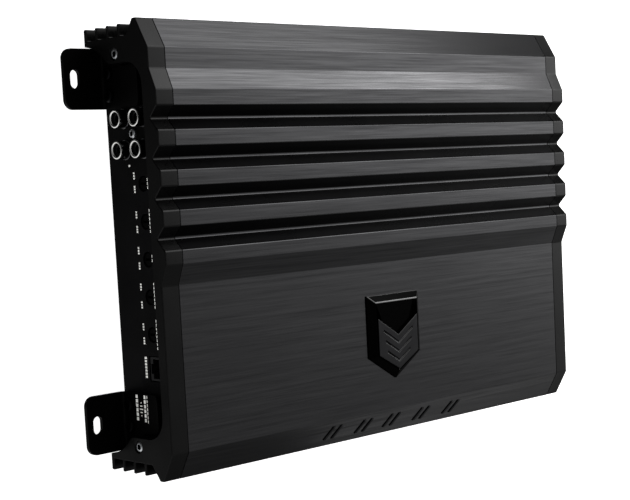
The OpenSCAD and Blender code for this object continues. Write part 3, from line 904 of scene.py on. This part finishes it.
@dataclass
class Casing:
    """Extrusion, end caps, end panels, bottom cover and their screws.

    Attributes:
        edge: Rounding of the extrusion's edges.
        cap_edge: Rounding of the cast caps' edges.
        rim_beyond: Distance from the middle beyond which a cap's edges are its outer rim.
        ridges_above: Height above which edges are on the ribs, grooves and field.
        fins_beyond: Distance from the middle line beyond which edges are on the lips and fins.
        top_from: Height above which an upward face is brushed.
        brushed_above: Upward lean from which a face is brushed; the groove walls stay unbrushed
            and darker, as painted shade.
        cut_end: Lean along X from which a face belongs to the extrusion's cut end.
        blasted: Lean along X from which a cap's face is left as blasted.
        panel_edge: Rounding of the end panels.
        cover_edge: Rounding of the bottom cover.
        cover_screw_edge: Rounding of the cover's screws.
        cap_screw: The screws of the caps.
        screw_y: Distance of the cap screws from the middle line.
        screw_z: Height of the cap screws.
    """

    edge: float = 0.22
    cap_edge: float = 0.5
    rim_beyond: float = 142.0
    ridges_above: float = 44.0
    fins_beyond: float = 95.4
    top_from: float = 37.5
    brushed_above: float = 0.8
    cut_end: float = 0.5
    blasted: float = 0.9
    panel_edge: float = 0.15
    cover_edge: float = 0.3
    cover_screw_edge: float = 0.15
    cap_screw: ButtonScrew = ButtonScrew.like("end_cap_screws", 2.2, shank=1.5, length=20.0)
    screw_y: float = 88.3
    screw_z: float = middle_of("end_cap_screws").z

    def is_outside(self, edge: bmesh.types.BMEdge) -> bool:
        """Tells whether an edge is on the outer profile.

        Args:
            edge: The edge.

        Returns:
            True for an edge of the lips, ribs, grooves or fins.
        """
        return all(v.co.z > self.ridges_above * MM or abs(v.co.y) > self.fins_beyond * MM
                   for v in edge.verts)

    def is_rim(self, edge: bmesh.types.BMEdge) -> bool:
        """Tells whether an edge of a cap's outer profile reaches its end face.

        Args:
            edge: The edge.

        Returns:
            True for an edge that is rounded.
        """
        reach = max(abs(v.co.x) for v in edge.verts)
        return self.is_outside(edge) and reach > self.rim_beyond * MM

    def cap(self, end: End) -> None:
        """Builds an end cap with its outer edges rounded more than its mouth.

        Args:
            end: The end it closes.
        """
        node = f"end_cap_{end.name.lower()}"
        bm = merged_copy(node)
        soften(bm, self.cap_edge, 3, 12.0, self.is_rim, clamp=False)
        for face in bm.faces:
            face.material_index = int(abs(face.normal.x) > self.blasted)
        stand_in(node, bm, [CAP_ENAMEL, CAP_BLASTED])

    def cap_screws(self) -> None:
        """Builds the four button head screws of the caps."""
        bm = bmesh.new()
        for end in End:
            for side in (-1, 1):
                self.cap_screw.add(bm, end, side * self.screw_y, self.screw_z)
        # The second finish darkens the sockets as painted shade.
        stand_in("end_cap_screws", bm, [ZINC, BLACK_OXIDE_AND_SOCKET_SHADE], soft_angle=40)

    def extrusion(self) -> None:
        """Builds the ribbed extrusion with brushed upper faces, and darker unbrushed sides and
        groove walls as painted shade.
        """
        bm = merged_copy("heatsink_extrusion")
        soften(bm, self.edge, 2, 12.0, self.is_outside, clamp=False)
        streaks = bm.loops.layers.uv.new(STREAK_MAP)
        for face in bm.faces:
            # Faces that aren't brushed take the darker anodising, which paints the shade of the
            # grooves and sides.
            brushed = (face.normal.z > self.brushed_above and abs(face.normal.x) < self.cut_end
                       and face.calc_center_median().z > self.top_from * MM)
            face.material_index = (Face.BRUSHED if brushed else Face.PLAIN).value
            flat = abs(face.normal.z) > abs(face.normal.y)
            for loop in face.loops:
                co = loop.vert.co
                loop[streaks].uv = (co.y if flat else co.z, co.x)
        stand_in("heatsink_extrusion", bm, [BRUSHED_ANODISING, PLAIN_ANODISING_PAINTED_SHADE])

    def build(self) -> None:
        """Builds every piece of the casing."""
        self.extrusion()
        for end in End:
            self.cap(end)
            refined(f"{end.name.lower()}_panel", PANEL_PAINT, self.panel_edge)
        self.cap_screws()
        refined("bottom_cover", PANEL_PAINT, self.cover_edge)
        refined("cover_screws", BLACK_OXIDE_AND_SOCKET_SHADE, self.cover_screw_edge)


@dataclass
class MountingFeet:
    """Four slotted sheet steel feet and the screws in their tabs.

    Attributes:
        edge: Rounding of the sheared edges.
        screw: The screws of the tabs.
        screw_y: Distances of the screws from the middle line.
        screw_z: Height of the screws.
    """

    edge: float = 0.3
    screw: ButtonScrew = ButtonScrew.like("foot_screws", 2.0, shank=2.0, length=4.1)
    screw_y: tuple[float, float] = (71.0, 81.0)
    screw_z: float = middle_of("foot_screws").z

    def build(self) -> None:
        """Builds the feet and their screws."""
        bm = bmesh.new()
        for end in End:
            for side, name in ((1, "rib"), (-1, "badge")):
                refined(f"foot_{end.name.lower()}_{name}_side", FOOT_POWDER, self.edge)
                for y in self.screw_y:
                    self.screw.add(bm, end, side * y, self.screw_z)
        stand_in("foot_screws", bm, [BLACK_OXIDE_AND_SOCKET_SHADE, BLACK_OXIDE_AND_SOCKET_SHADE], soft_angle=40)


# ---------------------------------------------------------------- badge and marks


@dataclass
class Badge:
    """Shield badge on the field, with five plain double strokes on the lower slope.

    Attributes:
        plate_edge: Rounding of the badge plate.
        inlay_edge: Rounding of the emblem inlay.
        highlight_lean: Lean toward the ribbed side from which a rounded edge takes the painted
            highlight.
        strokes_x: X of the middle of each double stroke.
        slope_top: Y and Z of the slope's upper edge.
        slope_foot: Y and Z of the slope's lower edge.
        reach: Where the strokes begin and end down the slope, as shares of it.
        lean: How far a stroke leans along X.
        stroke: Width of a stroke.
        gap: Spacing of the two strokes of a pair.
        sink: Depth of a stroke's foot below the slope.
        rise: Height of a stroke above the slope.
        stroke_edge: Rounding of the strokes.
    """

    plate_edge: float = 0.4
    inlay_edge: float = 0.2
    highlight_lean: float = 0.15
    strokes_x: tuple[float, ...] = (-41.0, -19.5, 0.6, 23.0, 46.0)
    slope_top: tuple[float, float] = (-89.3, corners("badge_plate")[0].z)
    slope_foot: tuple[float, float] = (corners("heatsink_extrusion")[0].y, 38.8)
    reach: tuple[float, float] = (0.26, 0.74)
    lean: float = 4.2
    stroke: float = 1.5
    gap: float = 5.2
    sink: float = 0.05
    rise: float = 0.5
    stroke_edge: float = 0.08

    def marks(self) -> None:
        """Builds the double strokes as low bars that lean along X and lie on the slope."""
        top, foot = (Vector((0.0, *point)) for point in (self.slope_top, self.slope_foot))
        along, up = Vector((1.0, 0.0, 0.0)), (top - foot).normalized()
        half = (top - foot).length * (self.reach[1] - self.reach[0]) / 2
        shear = Matrix.Identity(4)
        shear[0][1] = self.lean / (2 * half)
        turn = Matrix((along, up, along.cross(up))).transposed().to_4x4()
        middle = top.lerp(foot, sum(self.reach) / 2)
        bm = bmesh.new()
        for x in self.strokes_x:
            for side in (-0.5, 0.5):
                bar = plate(bm, (-self.stroke / 2, -half, -self.sink),
                            (self.stroke / 2, half, self.rise))
                place = Matrix.Translation((middle + along * (x + side * self.gap)) * MM)
                bmesh.ops.transform(bm, matrix=place @ turn @ shear, verts=bar)
        soften(bm, self.stroke_edge, 1)
        finish_piece("slope_strokes", bm, [BADGE_SATIN])

    def build(self) -> None:
        """Builds the badge and the strokes."""
        for node, finish, width in (("badge_plate", BADGE_GLOSS, self.plate_edge),
                                    ("badge_inlay", BADGE_SATIN, self.inlay_edge)):
            bm = merged_copy(node)
            # Rounded edges that lean toward the lamps take the painted highlight.
            for face in soften(bm, width):
                face.material_index = int(face.normal.y > self.highlight_lean)
            stand_in(node, bm, [finish, BADGE_PAINTED_HIGHLIGHT])
        self.marks()


# ---------------------------------------------------------------- input end


PANEL_FACE = corners("input_panel")[0].x
SHELLS_FRONT, SHELLS_BACK = (corner.x for corner in corners("rca_shells"))
SHELLS_MIDDLE = middle_of("rca_shells")


@dataclass
class InputSockets:
    """Four phono sockets round a screw.

    Attributes:
        front: X of the shells' front.
        panel: X of the panel's face.
        back: X where a shell ends inside.
        outer: Radius of a shell.
        inner: Radius of its bore.
        lip: Inner radius of its rolled lip.
        collar: Radius of the collar against the panel.
        bright: Depth of the bright nickel behind the shells' front; deeper faces take the darker
            nickel as painted shade.
        middle: Y and Z of the middle of the four.
        pitch: Spacing of the sockets both ways.
        contact_depth: Depth of the centre contacts behind the shells' front.
        contact_bore: Radius of a centre contact's bore.
        contact_outer: Radius of a centre contact.
        insulator_edge: Rounding of the insulators.
        screw: The screw in the middle.
    """

    front: float = SHELLS_FRONT
    panel: float = PANEL_FACE
    back: float = SHELLS_BACK
    outer: float = 4.15
    inner: float = 3.65
    lip: float = 3.0
    collar: float = 4.55
    bright: float = 0.76
    middle: tuple[float, float] = (SHELLS_MIDDLE.y, SHELLS_MIDDLE.z)
    pitch: float = 14.0
    contact_depth: float = 4.5
    contact_bore: float = 1.35
    contact_outer: float = 1.7
    insulator_edge: float = 0.2
    screw: ButtonScrew = ButtonScrew.like("rca_screw", 1.7, shank=1.25, length=10.0)

    def shell_outline(self) -> list[tuple[float, float]]:
        """Gives the section of a shell: rolled lip, barrel, collar and tail.

        Returns:
            Points as X and radius.
        """
        f, p = self.front, self.panel
        return [
            (self.back, self.inner), (f + 1.6, self.inner), (f + 1.55, self.lip),
            (f + 0.5, self.lip), (f + 0.15, self.lip + 0.12), (f, self.lip + 0.35),
            (f, self.outer - 0.35), (f + 0.12, self.outer - 0.1),
            (f + 0.4, self.outer), (f + 0.75, self.outer), (p - 0.8, self.outer),
            (p - 0.8, self.collar - 0.15), (p - 0.65, self.collar), (p, self.collar),
            (p, self.outer - 0.15), (self.back, self.outer - 0.15),
        ]

    def contact_outline(self) -> list[tuple[float, float]]:
        """Gives the section of a centre contact with its rounded mouth.

        Returns:
            Points as X and radius.
        """
        mouth, bore = self.front + self.contact_depth, self.contact_bore
        return [
            (self.back, bore), (mouth + 0.3, bore), (mouth + 0.08, bore + 0.07),
            (mouth, bore + 0.17), (mouth + 0.08, self.contact_outer - 0.07),
            (mouth + 0.3, self.contact_outer), (self.back, self.contact_outer),
        ]

    def turn_four(self, outline: list[tuple[float, float]], steps: int) -> bmesh.types.BMesh:
        """Turns an outline about each of the four socket axes.

        Args:
            outline: The section.
            steps: Facets round the turn.

        Returns:
            The mesh.
        """
        bm = bmesh.new()
        for a in (-0.5, 0.5):
            for b in (-0.5, 0.5):
                turned(bm, outline, self.middle[0] + a * self.pitch,
                       self.middle[1] + b * self.pitch, steps)
        close_seams(bm)
        return bm

    def build(self) -> None:
        """Builds the sockets and their screw and dresses their housing."""
        shells = self.turn_four(self.shell_outline(), 48)
        # Faces deeper than the bright lip take the darker nickel as painted shade.
        for face in shells.faces:
            behind = face.calc_center_median().x > (self.front + self.bright) * MM
            face.material_index = int(behind)
        stand_in("rca_shells", shells, [NICKEL, NICKEL_PAINTED_SHADE], how="turned", soft_angle=40)
        contacts = self.turn_four(self.contact_outline(), 32)
        stand_in("rca_contacts", contacts, [GOLD], how="turned", soft_angle=40)
        refined("rca_insulators", INSERT_ACETAL, self.insulator_edge)
        screw = bmesh.new()
        self.screw.add(screw, End.INPUT, *self.middle)
        # The second finish darkens the socket as painted shade.
        stand_in("rca_screw", screw, [ZINC, BLACK_OXIDE_AND_SOCKET_SHADE], soft_angle=40)
        dress_node("rca_housing", CONNECTOR_NYLON)


@dataclass
class Controls:
    """Screwdriver controls, remote socket and the board behind them.

    Attributes:
        names: The controls, from the ribbed side.
        shaft_edge: Rounding of a shaft.
        jack_edge: Rounding of the remote socket.
        contact_edge: Rounding of the remote socket's contacts.
    """

    names: tuple[str, ...] = ("level", "subsonic", "lowpass", "bass", "phase")
    shaft_edge: float = 0.22
    jack_edge: float = 0.2
    contact_edge: float = 0.08

    def build(self) -> None:
        """Builds the shafts and the socket and dresses the board behind."""
        for name in self.names:
            # The shafts' near-black finish paints the shade of their holes.
            refined(f"{name}_shaft", SHAFT_NYLON_PAINTED_SHADE, self.shaft_edge, f"{name}_control")
        refined("remote_jack", CONNECTOR_NYLON, self.jack_edge)
        refined("jack_contacts", GOLD, self.contact_edge, segments=1)
        dress_node("control_bodies", CONTROL_PHENOLIC)
        dress_node("control_board", LAMINATE)
        dress_node("control_board_posts", BRASS)
        dress_node("control_board_screws", ZINC)


@dataclass(frozen=True)
class DashRow:
    """A row of ink dashes along Y. The dashes keep their gap and stretch to fill the row.

    Attributes:
        start: Y where the row starts.
        end: Y where it ends.
        z: Height of its middle.
        height: Height of a dash.
        dash: Length of a dash before it stretches.
        gap: Space between dashes.
    """

    start: float
    end: float
    z: float
    height: float
    dash: float = 1.3
    gap: float = 0.55


@dataclass
class PanelPrint:
    """Plain dashes and ticks screened in white on the input panel and one foot tab.

    Attributes:
        face: X of the panel's face.
        tab_face: X of the foot tab's face, a sheet's thickness further out.
        ink: Thickness of the ink.
        overlap: Depth of the ink's foot in the surface.
        edge: Rounding of the ink.
        titles: The dashes above each control.
        ends: Y of the mark at each end of every control's range.
        end_mark: One of those marks, about its own middle.
        socket_row: The dashes below the remote socket.
        dots: Y and Z of the single dots beside the phono sockets.
        dot: Length and height of a dot.
        tab_rows: The dashes on the foot tab.
        fan: Y and Z of the first of the five upright ticks between them.
        fan_step: Spacing of the ticks.
        fan_tick: Length of a tick along Y.
        fan_height: Height of the middle tick.
        fan_fall: How much shorter each next tick is.
    """

    face: float = PANEL_FACE
    tab_face: float = PANEL_FACE - 2.2
    ink: float = 0.06
    overlap: float = 0.02
    edge: float = 0.04
    titles: tuple[DashRow, ...] = (
        DashRow(33.1, 28.2, 28.05, 0.5), DashRow(19.2, 8.5, 28.05, 0.5),
        DashRow(-1.4, -4.6, 28.05, 0.5), DashRow(-14.0, -25.8, 28.05, 0.5),
        DashRow(-30.8, -44.5, 28.05, 0.5))
    ends: tuple[float, ...] = (34.3, 28.2, 16.7, 10.1, 0.4, -6.5, -16.1, -24.3, -34.4, -40.8)
    end_mark: DashRow = DashRow(-1.6, 1.6, 18.3, 1.1, 0.9, 0.35)
    socket_row: DashRow = DashRow(-48.2, -57.9, 18.5, 1.5, 1.1, 0.4)
    dots: tuple[tuple[float, float], ...] = ((68.0, 15.5), (38.9, 15.3))
    dot: tuple[float, float] = (0.9, 1.3)
    tab_rows: tuple[DashRow, ...] = (
        DashRow(-65.8, -78.6, 20.4, 0.5, 1.5, 0.5),
        DashRow(-65.8, -78.2, 18.6, 1.4, 1.5, 0.5),
        DashRow(-65.8, -77.8, 12.6, 1.6, 1.5, 0.5))
    fan: tuple[float, float] = (-69.4, 15.7)
    fan_step: float = 1.5
    fan_tick: float = 0.5
    fan_height: float = 2.6
    fan_fall: float = 0.9

    def mark(self, bm: bmesh.types.BMesh, x: float, y: float, z: float, length: float,
             height: float) -> None:
        """Adds one ink bar centred on a point of a panel.

        Args:
            bm: The mesh.
            x: X of the surface below the ink.
            y: Middle of the bar.
            z: Middle of the bar.
            length: Length along Y.
            height: Height along Z.
        """
        plate(bm, (x - self.ink, y - length / 2, z - height / 2),
              (x + self.overlap, y + length / 2, z + height / 2))

    def dashes(self, bm: bmesh.types.BMesh, x: float, row: DashRow, about: float = 0.0) -> None:
        """Adds a row of dashes, evened out to fill its range.

        Args:
            bm: The mesh.
            x: X of the surface.
            row: The row.
            about: Y that the row's own Y is measured from.
        """
        low, high = min(row.start, row.end), max(row.start, row.end)
        count = max(1, round((high - low + row.gap) / (row.dash + row.gap)))
        step = (high - low + row.gap) / count
        length = step - row.gap
        for i in range(count):
            middle = about + low + i * step + length / 2
            self.mark(bm, x, middle, row.z, length, row.height)

    def panel_print(self) -> None:
        """Prints the input panel."""
        bm = bmesh.new()
        for row in self.titles:
            self.dashes(bm, self.face, row)
        for y in self.ends:
            self.dashes(bm, self.face, self.end_mark, about=y)
        self.dashes(bm, self.face, self.socket_row)
        for y, z in self.dots:
            self.mark(bm, self.face, y, z, *self.dot)
        soften(bm, self.edge, 1)
        finish_piece("input_panel_print", bm, [PRINT_INK])

    def tab_print(self) -> None:
        """Prints the foot tab: three rows with a fan of ticks between them."""
        bm = bmesh.new()
        for row in self.tab_rows:
            self.dashes(bm, self.tab_face, row)
        for i in range(5):
            self.mark(bm, self.tab_face, self.fan[0] - i * self.fan_step, self.fan[1],
                      self.fan_tick, self.fan_height - abs(i - 2) * self.fan_fall)
        soften(bm, self.edge, 1)
        finish_piece("foot_tab_print", bm, [PRINT_INK])

    def build(self) -> None:
        """Builds the print on the panel and on the tab."""
        self.panel_print()
        self.tab_print()


# ---------------------------------------------------------------- inside


@dataclass
class Boards:
    """Main board with its power stage, transformer, choke and capacitors.

    Attributes:
        clamp_edge: Rounding of the clamp bars and their screws.
        core_edges: Rounding of the transformer's core and the choke's.
        winding_edges: Rounding of the transformer's windings and the choke's.
        can_edge: Rounding of the capacitors' cans.
    """

    clamp_edge: float = 0.3
    core_edges: tuple[float, float] = (1.6, 1.4)
    winding_edges: tuple[float, float] = (2.2, 2.0)
    can_edge: float = 1.2

    def build(self) -> None:
        """Rounds and dresses the parts inside the casing."""
        for node, finish in (("main_board", LAMINATE), ("board_supports", SUPPORT_NYLON),
                             ("board_screws", ZINC), ("power_transistors", EPOXY),
                             ("transistor_pads", SILICONE)):
            dress_node(node, finish)
        refined("clamp_bars", MILL_ALUMINIUM, self.clamp_edge)
        refined("clamp_screws", BLACK_OXIDE_AND_SOCKET_SHADE, self.clamp_edge)
        refined("transformer_core", FERRITE, self.core_edges[0], segments=3)
        refined("transformer_windings", TRANSFORMER_WIRE, self.winding_edges[0], segments=4)
        refined("inductor_core", IRON_POWDER, self.core_edges[1], segments=3)
        refined("inductor_winding", INDUCTOR_WIRE, self.winding_edges[1], segments=4)
        refined("bulk_capacitors", SLEEVE, self.can_edge, segments=3)


# ---------------------------------------------------------------- output end


@dataclass
class OutputEnd:
    """Wire terminals with leaning set screws, and three plug-in fuses.

    Attributes:
        block_edge: Rounding of the moulded blocks.
        insert_edge: Rounding of the brass inserts.
        screw_edge: Rounding of the set screws.
        fuse_edge: Rounding of a fuse's body.
        blade_edge: Rounding of a fuse's blades.
    """

    block_edge: float = 0.35
    insert_edge: float = 0.2
    screw_edge: float = 0.22
    fuse_edge: float = 0.4
    blade_edge: float = 0.12

    def build(self) -> None:
        """Builds the terminals, screws, holder and fuses."""
        for kind in ("power", "speaker"):
            refined(f"{kind}_terminal_housing", CONNECTOR_NYLON, self.block_edge)
            refined(f"{kind}_terminal_inserts", BRASS, self.insert_edge)
        screws = ["power_screw_negative", "power_screw_positive"]
        screws += [f"speaker_screw_{i}" for i in range(1, 5)]
        for node in screws:
            refined(node, SCREW_NICKEL, self.screw_edge, node)
        refined("fuse_holder", CONNECTOR_NYLON, self.block_edge)
        for i in range(1, 4):
            refined(f"fuse_{i}", FUSE_PLASTIC, self.fuse_edge, f"fuse_{i}", segments=3)
            refined(f"fuse_{i}_blades", TINNED, self.blade_edge, f"fuse_{i}")


# ---------------------------------------------------------------- stage


@dataclass(frozen=True)
class Softbox:
    """A rectangular soft light aimed at the amplifier.

    Attributes:
        name: The light's name.
        direction: From the amplifier to the light.
        size: Width and height in metres.
        power: Power in watts.
        distance: Distance in metres.
    """

    name: str
    direction: tuple[float, float, float]
    size: tuple[float, float]
    power: float
    distance: float = 2.0

    def add(self) -> None:
        """Adds the light to the scene."""
        data = bpy.data.lights.new(self.name, "AREA")
        data.shape = "RECTANGLE"
        data.size, data.size_y = self.size
        data.energy = self.power
        light = bpy.data.objects.new(self.name, data)
        bpy.context.scene.collection.objects.link(light)
        place = Vector(self.direction).normalized() * self.distance
        turn = place.to_track_quat("Z", "Y").to_matrix().to_4x4()
        light.matrix_world = Matrix.Translation(place) @ turn


@dataclass
class Studio:
    """Table, soft lights, surroundings and the camera.

    Attributes:
        eye: The camera's place.
        right: The camera's right.
        up: The camera's up.
        back: The direction from the scene to the camera.
        lens: Focal length for the sensor's width.
        sensor: Width of the sensor.
        shift: Sideways and upward shift of the frame.
        table_size: Half width of the table top in metres.
        table_gap: Depth of the table top below the feet, so that they don't flicker.
        softboxes: The lights.
        key_side: Direction of the middle of the key glow.
        key_falloff: Cosine of the angle from the key's middle, and the brightness there.
        horizon: Upward part of a direction where the key starts and is whole.
        flag_side: Direction of the dark flag that shades the far end of the key.
        flag_edge: Cosines between which the flag fades in.
        flag_floor: What the flag lets through.
        bounce_side: Direction of the bounce card below the input end.
        bounce_edge: Cosines between which the card fades in.
        bounce: Brightness of the card.
        dim: Brightness of the rest of the room.
    """

    eye: tuple[float, float, float] = (-523.7, 31.5, 552.5)
    right: tuple[float, float, float] = (0.7253, -0.0510, 0.6865)
    up: tuple[float, float, float] = (0.1044, 0.9939, -0.0364)
    back: tuple[float, float, float] = (-0.6804, 0.0981, 0.7262)
    lens: float = 82.59
    sensor: float = 36.0
    shift: tuple[float, float] = (-0.0072, 0.1036)
    table_size: float = 6.0
    table_gap: float = 0.05
    softboxes: tuple[Softbox, ...] = (
        Softbox("key_softbox", (0.732, 0.537, 0.42), size=(0.26, 0.2), power=1.15),
        Softbox("low_fill_softbox", (0.77, -0.61, 0.24), size=(0.8, 0.3), power=0.5),
    )
    key_side: tuple[float, float, float] = (0.73, 0.545, 0.415)
    key_falloff: tuple[tuple[float, float], ...] = (
        (-1.0, 1.0), (-0.1, 0.5), (0.35, 0.32), (0.5, 0.55), (0.6, 0.45), (0.7, 0.5),
        (0.76, 0.8), (0.8, 1.4), (0.835, 2.6), (0.865, 3.5), (0.93, 3.6), (0.97, 3.7),
        (0.985, 4.8), (1.0, 6.0))
    horizon: tuple[float, float] = (0.08, 0.38)
    flag_side: tuple[float, float, float] = (0.8, 0.5, 0.28)
    flag_edge: tuple[float, float] = (0.982, 0.996)
    flag_floor: float = 0.02
    bounce_side: tuple[float, float, float] = (-0.45, -0.75, -0.5)
    bounce_edge: tuple[float, float] = (0.58, 0.76)
    bounce: float = 0.95
    dim: float = 0.05

    def camera(self) -> None:
        """Sets up the camera."""
        data = bpy.data.cameras.new("camera")
        data.lens = self.lens
        data.sensor_width = self.sensor
        data.sensor_fit = "HORIZONTAL"
        data.shift_x, data.shift_y = self.shift
        data.clip_start, data.clip_end = 0.01, 50.0
        camera = bpy.data.objects.new("camera", data)
        bpy.context.scene.collection.objects.link(camera)
        turn = Matrix((self.right, self.up, self.back)).transposed().to_4x4()
        camera.matrix_world = Matrix.Translation(Vector(self.eye) * MM) @ turn
        bpy.context.scene.camera = camera

    def key_glow(self, tree: bpy.types.NodeTree,
                 closeness: bpy.types.NodeSocket) -> bpy.types.NodeSocket:
        """Turns closeness to the key's middle into its glow, one where it is brightest.

        Args:
            tree: The world's nodes.
            closeness: Cosine of the angle from the key's middle.

        Returns:
            The glow.
        """
        place = add_node(tree, "ShaderNodeMapRange", {
            "Value": closeness, "From Min": -1.0, "From Max": 1.0,
        })
        falloff = add_node(tree, "ShaderNodeValToRGB", {"Fac": place.outputs["Result"]})
        ramp = falloff.color_ramp.elements
        while len(ramp) < len(self.key_falloff):
            ramp.new(1.0)
        for stop, (cosine, level) in zip(ramp, self.key_falloff):
            stop.position = (cosine + 1) / 2
            share = level / self.key_peak()
            stop.color = (share, share, share, 1.0)
        return falloff.outputs["Color"]

    def key_peak(self) -> float:
        """Gives the key's greatest brightness."""
        return max(level for _, level in self.key_falloff)

    def surroundings(self) -> None:
        """Lights the room by direction: a broad key above, a dark flag, a bounce below."""
        world = bpy.data.worlds.new("pale_room")
        bpy.context.scene.world = world
        world.use_nodes = True
        tree = world.node_tree
        tree.nodes.clear()
        direction = add_node(tree, "ShaderNodeTexCoord").outputs["Generated"]
        height = add_node(tree, "ShaderNodeSeparateXYZ", {"Vector": direction}).outputs["Z"]
        to_key, to_flag, to_bounce = (
            add_node(tree, "ShaderNodeVectorMath", {
                0: direction, 1: Vector(side).normalized(),
            }, operation="DOT_PRODUCT").outputs["Value"]
            for side in (self.key_side, self.flag_side, self.bounce_side)
        )
        above_horizon, past_flag, below = (
            add_node(tree, "ShaderNodeMapRange", {
                "Value": value, "From Min": edge[0], "From Max": edge[1],
                "To Min": start, "To Max": whole,
            }, interpolation_type="SMOOTHSTEP").outputs["Result"]
            for value, edge, start, whole in (
                (height, self.horizon, 0.0, self.key_peak()),
                (to_flag, self.flag_edge, 1.0, self.flag_floor),
                (to_bounce, self.bounce_edge, self.dim, self.bounce))
        )
        above = self.key_glow(tree, to_key)
        for shade in (above_horizon, past_flag):
            above = add_node(tree, "ShaderNodeMath", {0: above, 1: shade},
                             operation="MULTIPLY").outputs["Value"]
        strength = add_node(tree, "ShaderNodeMath", {0: above, 1: below}, operation="MAXIMUM")
        glow = add_node(tree, "ShaderNodeBackground", {
            "Color": (1.0, 1.0, 1.0, 1.0), "Strength": strength.outputs["Value"],
        })
        add_node(tree, "ShaderNodeOutputWorld", {"Surface": glow.outputs["Background"]})

    def table(self) -> None:
        """Lays the plain pale table top at the mounting plane, unseen by the gloss."""
        bm = bmesh.new()
        bmesh.ops.create_grid(bm, x_segments=8, y_segments=8, size=self.table_size)
        bmesh.ops.translate(bm, verts=bm.verts, vec=(0.0, 0.0, -self.table_gap * MM))
        mesh = bpy.data.meshes.new("table_top")
        bm.to_mesh(mesh)
        bm.free()
        mesh.materials.append(TABLE.material())
        top = bpy.data.objects.new("table_top", mesh)
        bpy.context.scene.collection.objects.link(top)
        top.visible_glossy = False

    def build(self) -> None:
        """Sets the stage."""
        self.camera()
        self.surroundings()
        self.table()
        for each in self.softboxes:
            each.add()
        bpy.context.scene.view_settings.view_transform = "Standard"
        bpy.context.scene.view_settings.look = "None"
        log.info("stage: camera, room, table and softboxes")


def main() -> None:
    """Builds the amplifier and its stage."""
    logging.basicConfig(level=logging.INFO, format="%(message)s")
    sub_assemblies = (
        Studio(), Casing(), MountingFeet(), Badge(), InputSockets(), Controls(),
        PanelPrint(), Boards(), OutputEnd(),
    )
    for each in sub_assemblies:
        log.info("building %s", type(each).__name__)
        each.build()


if __name__ == "__main__":
    main()
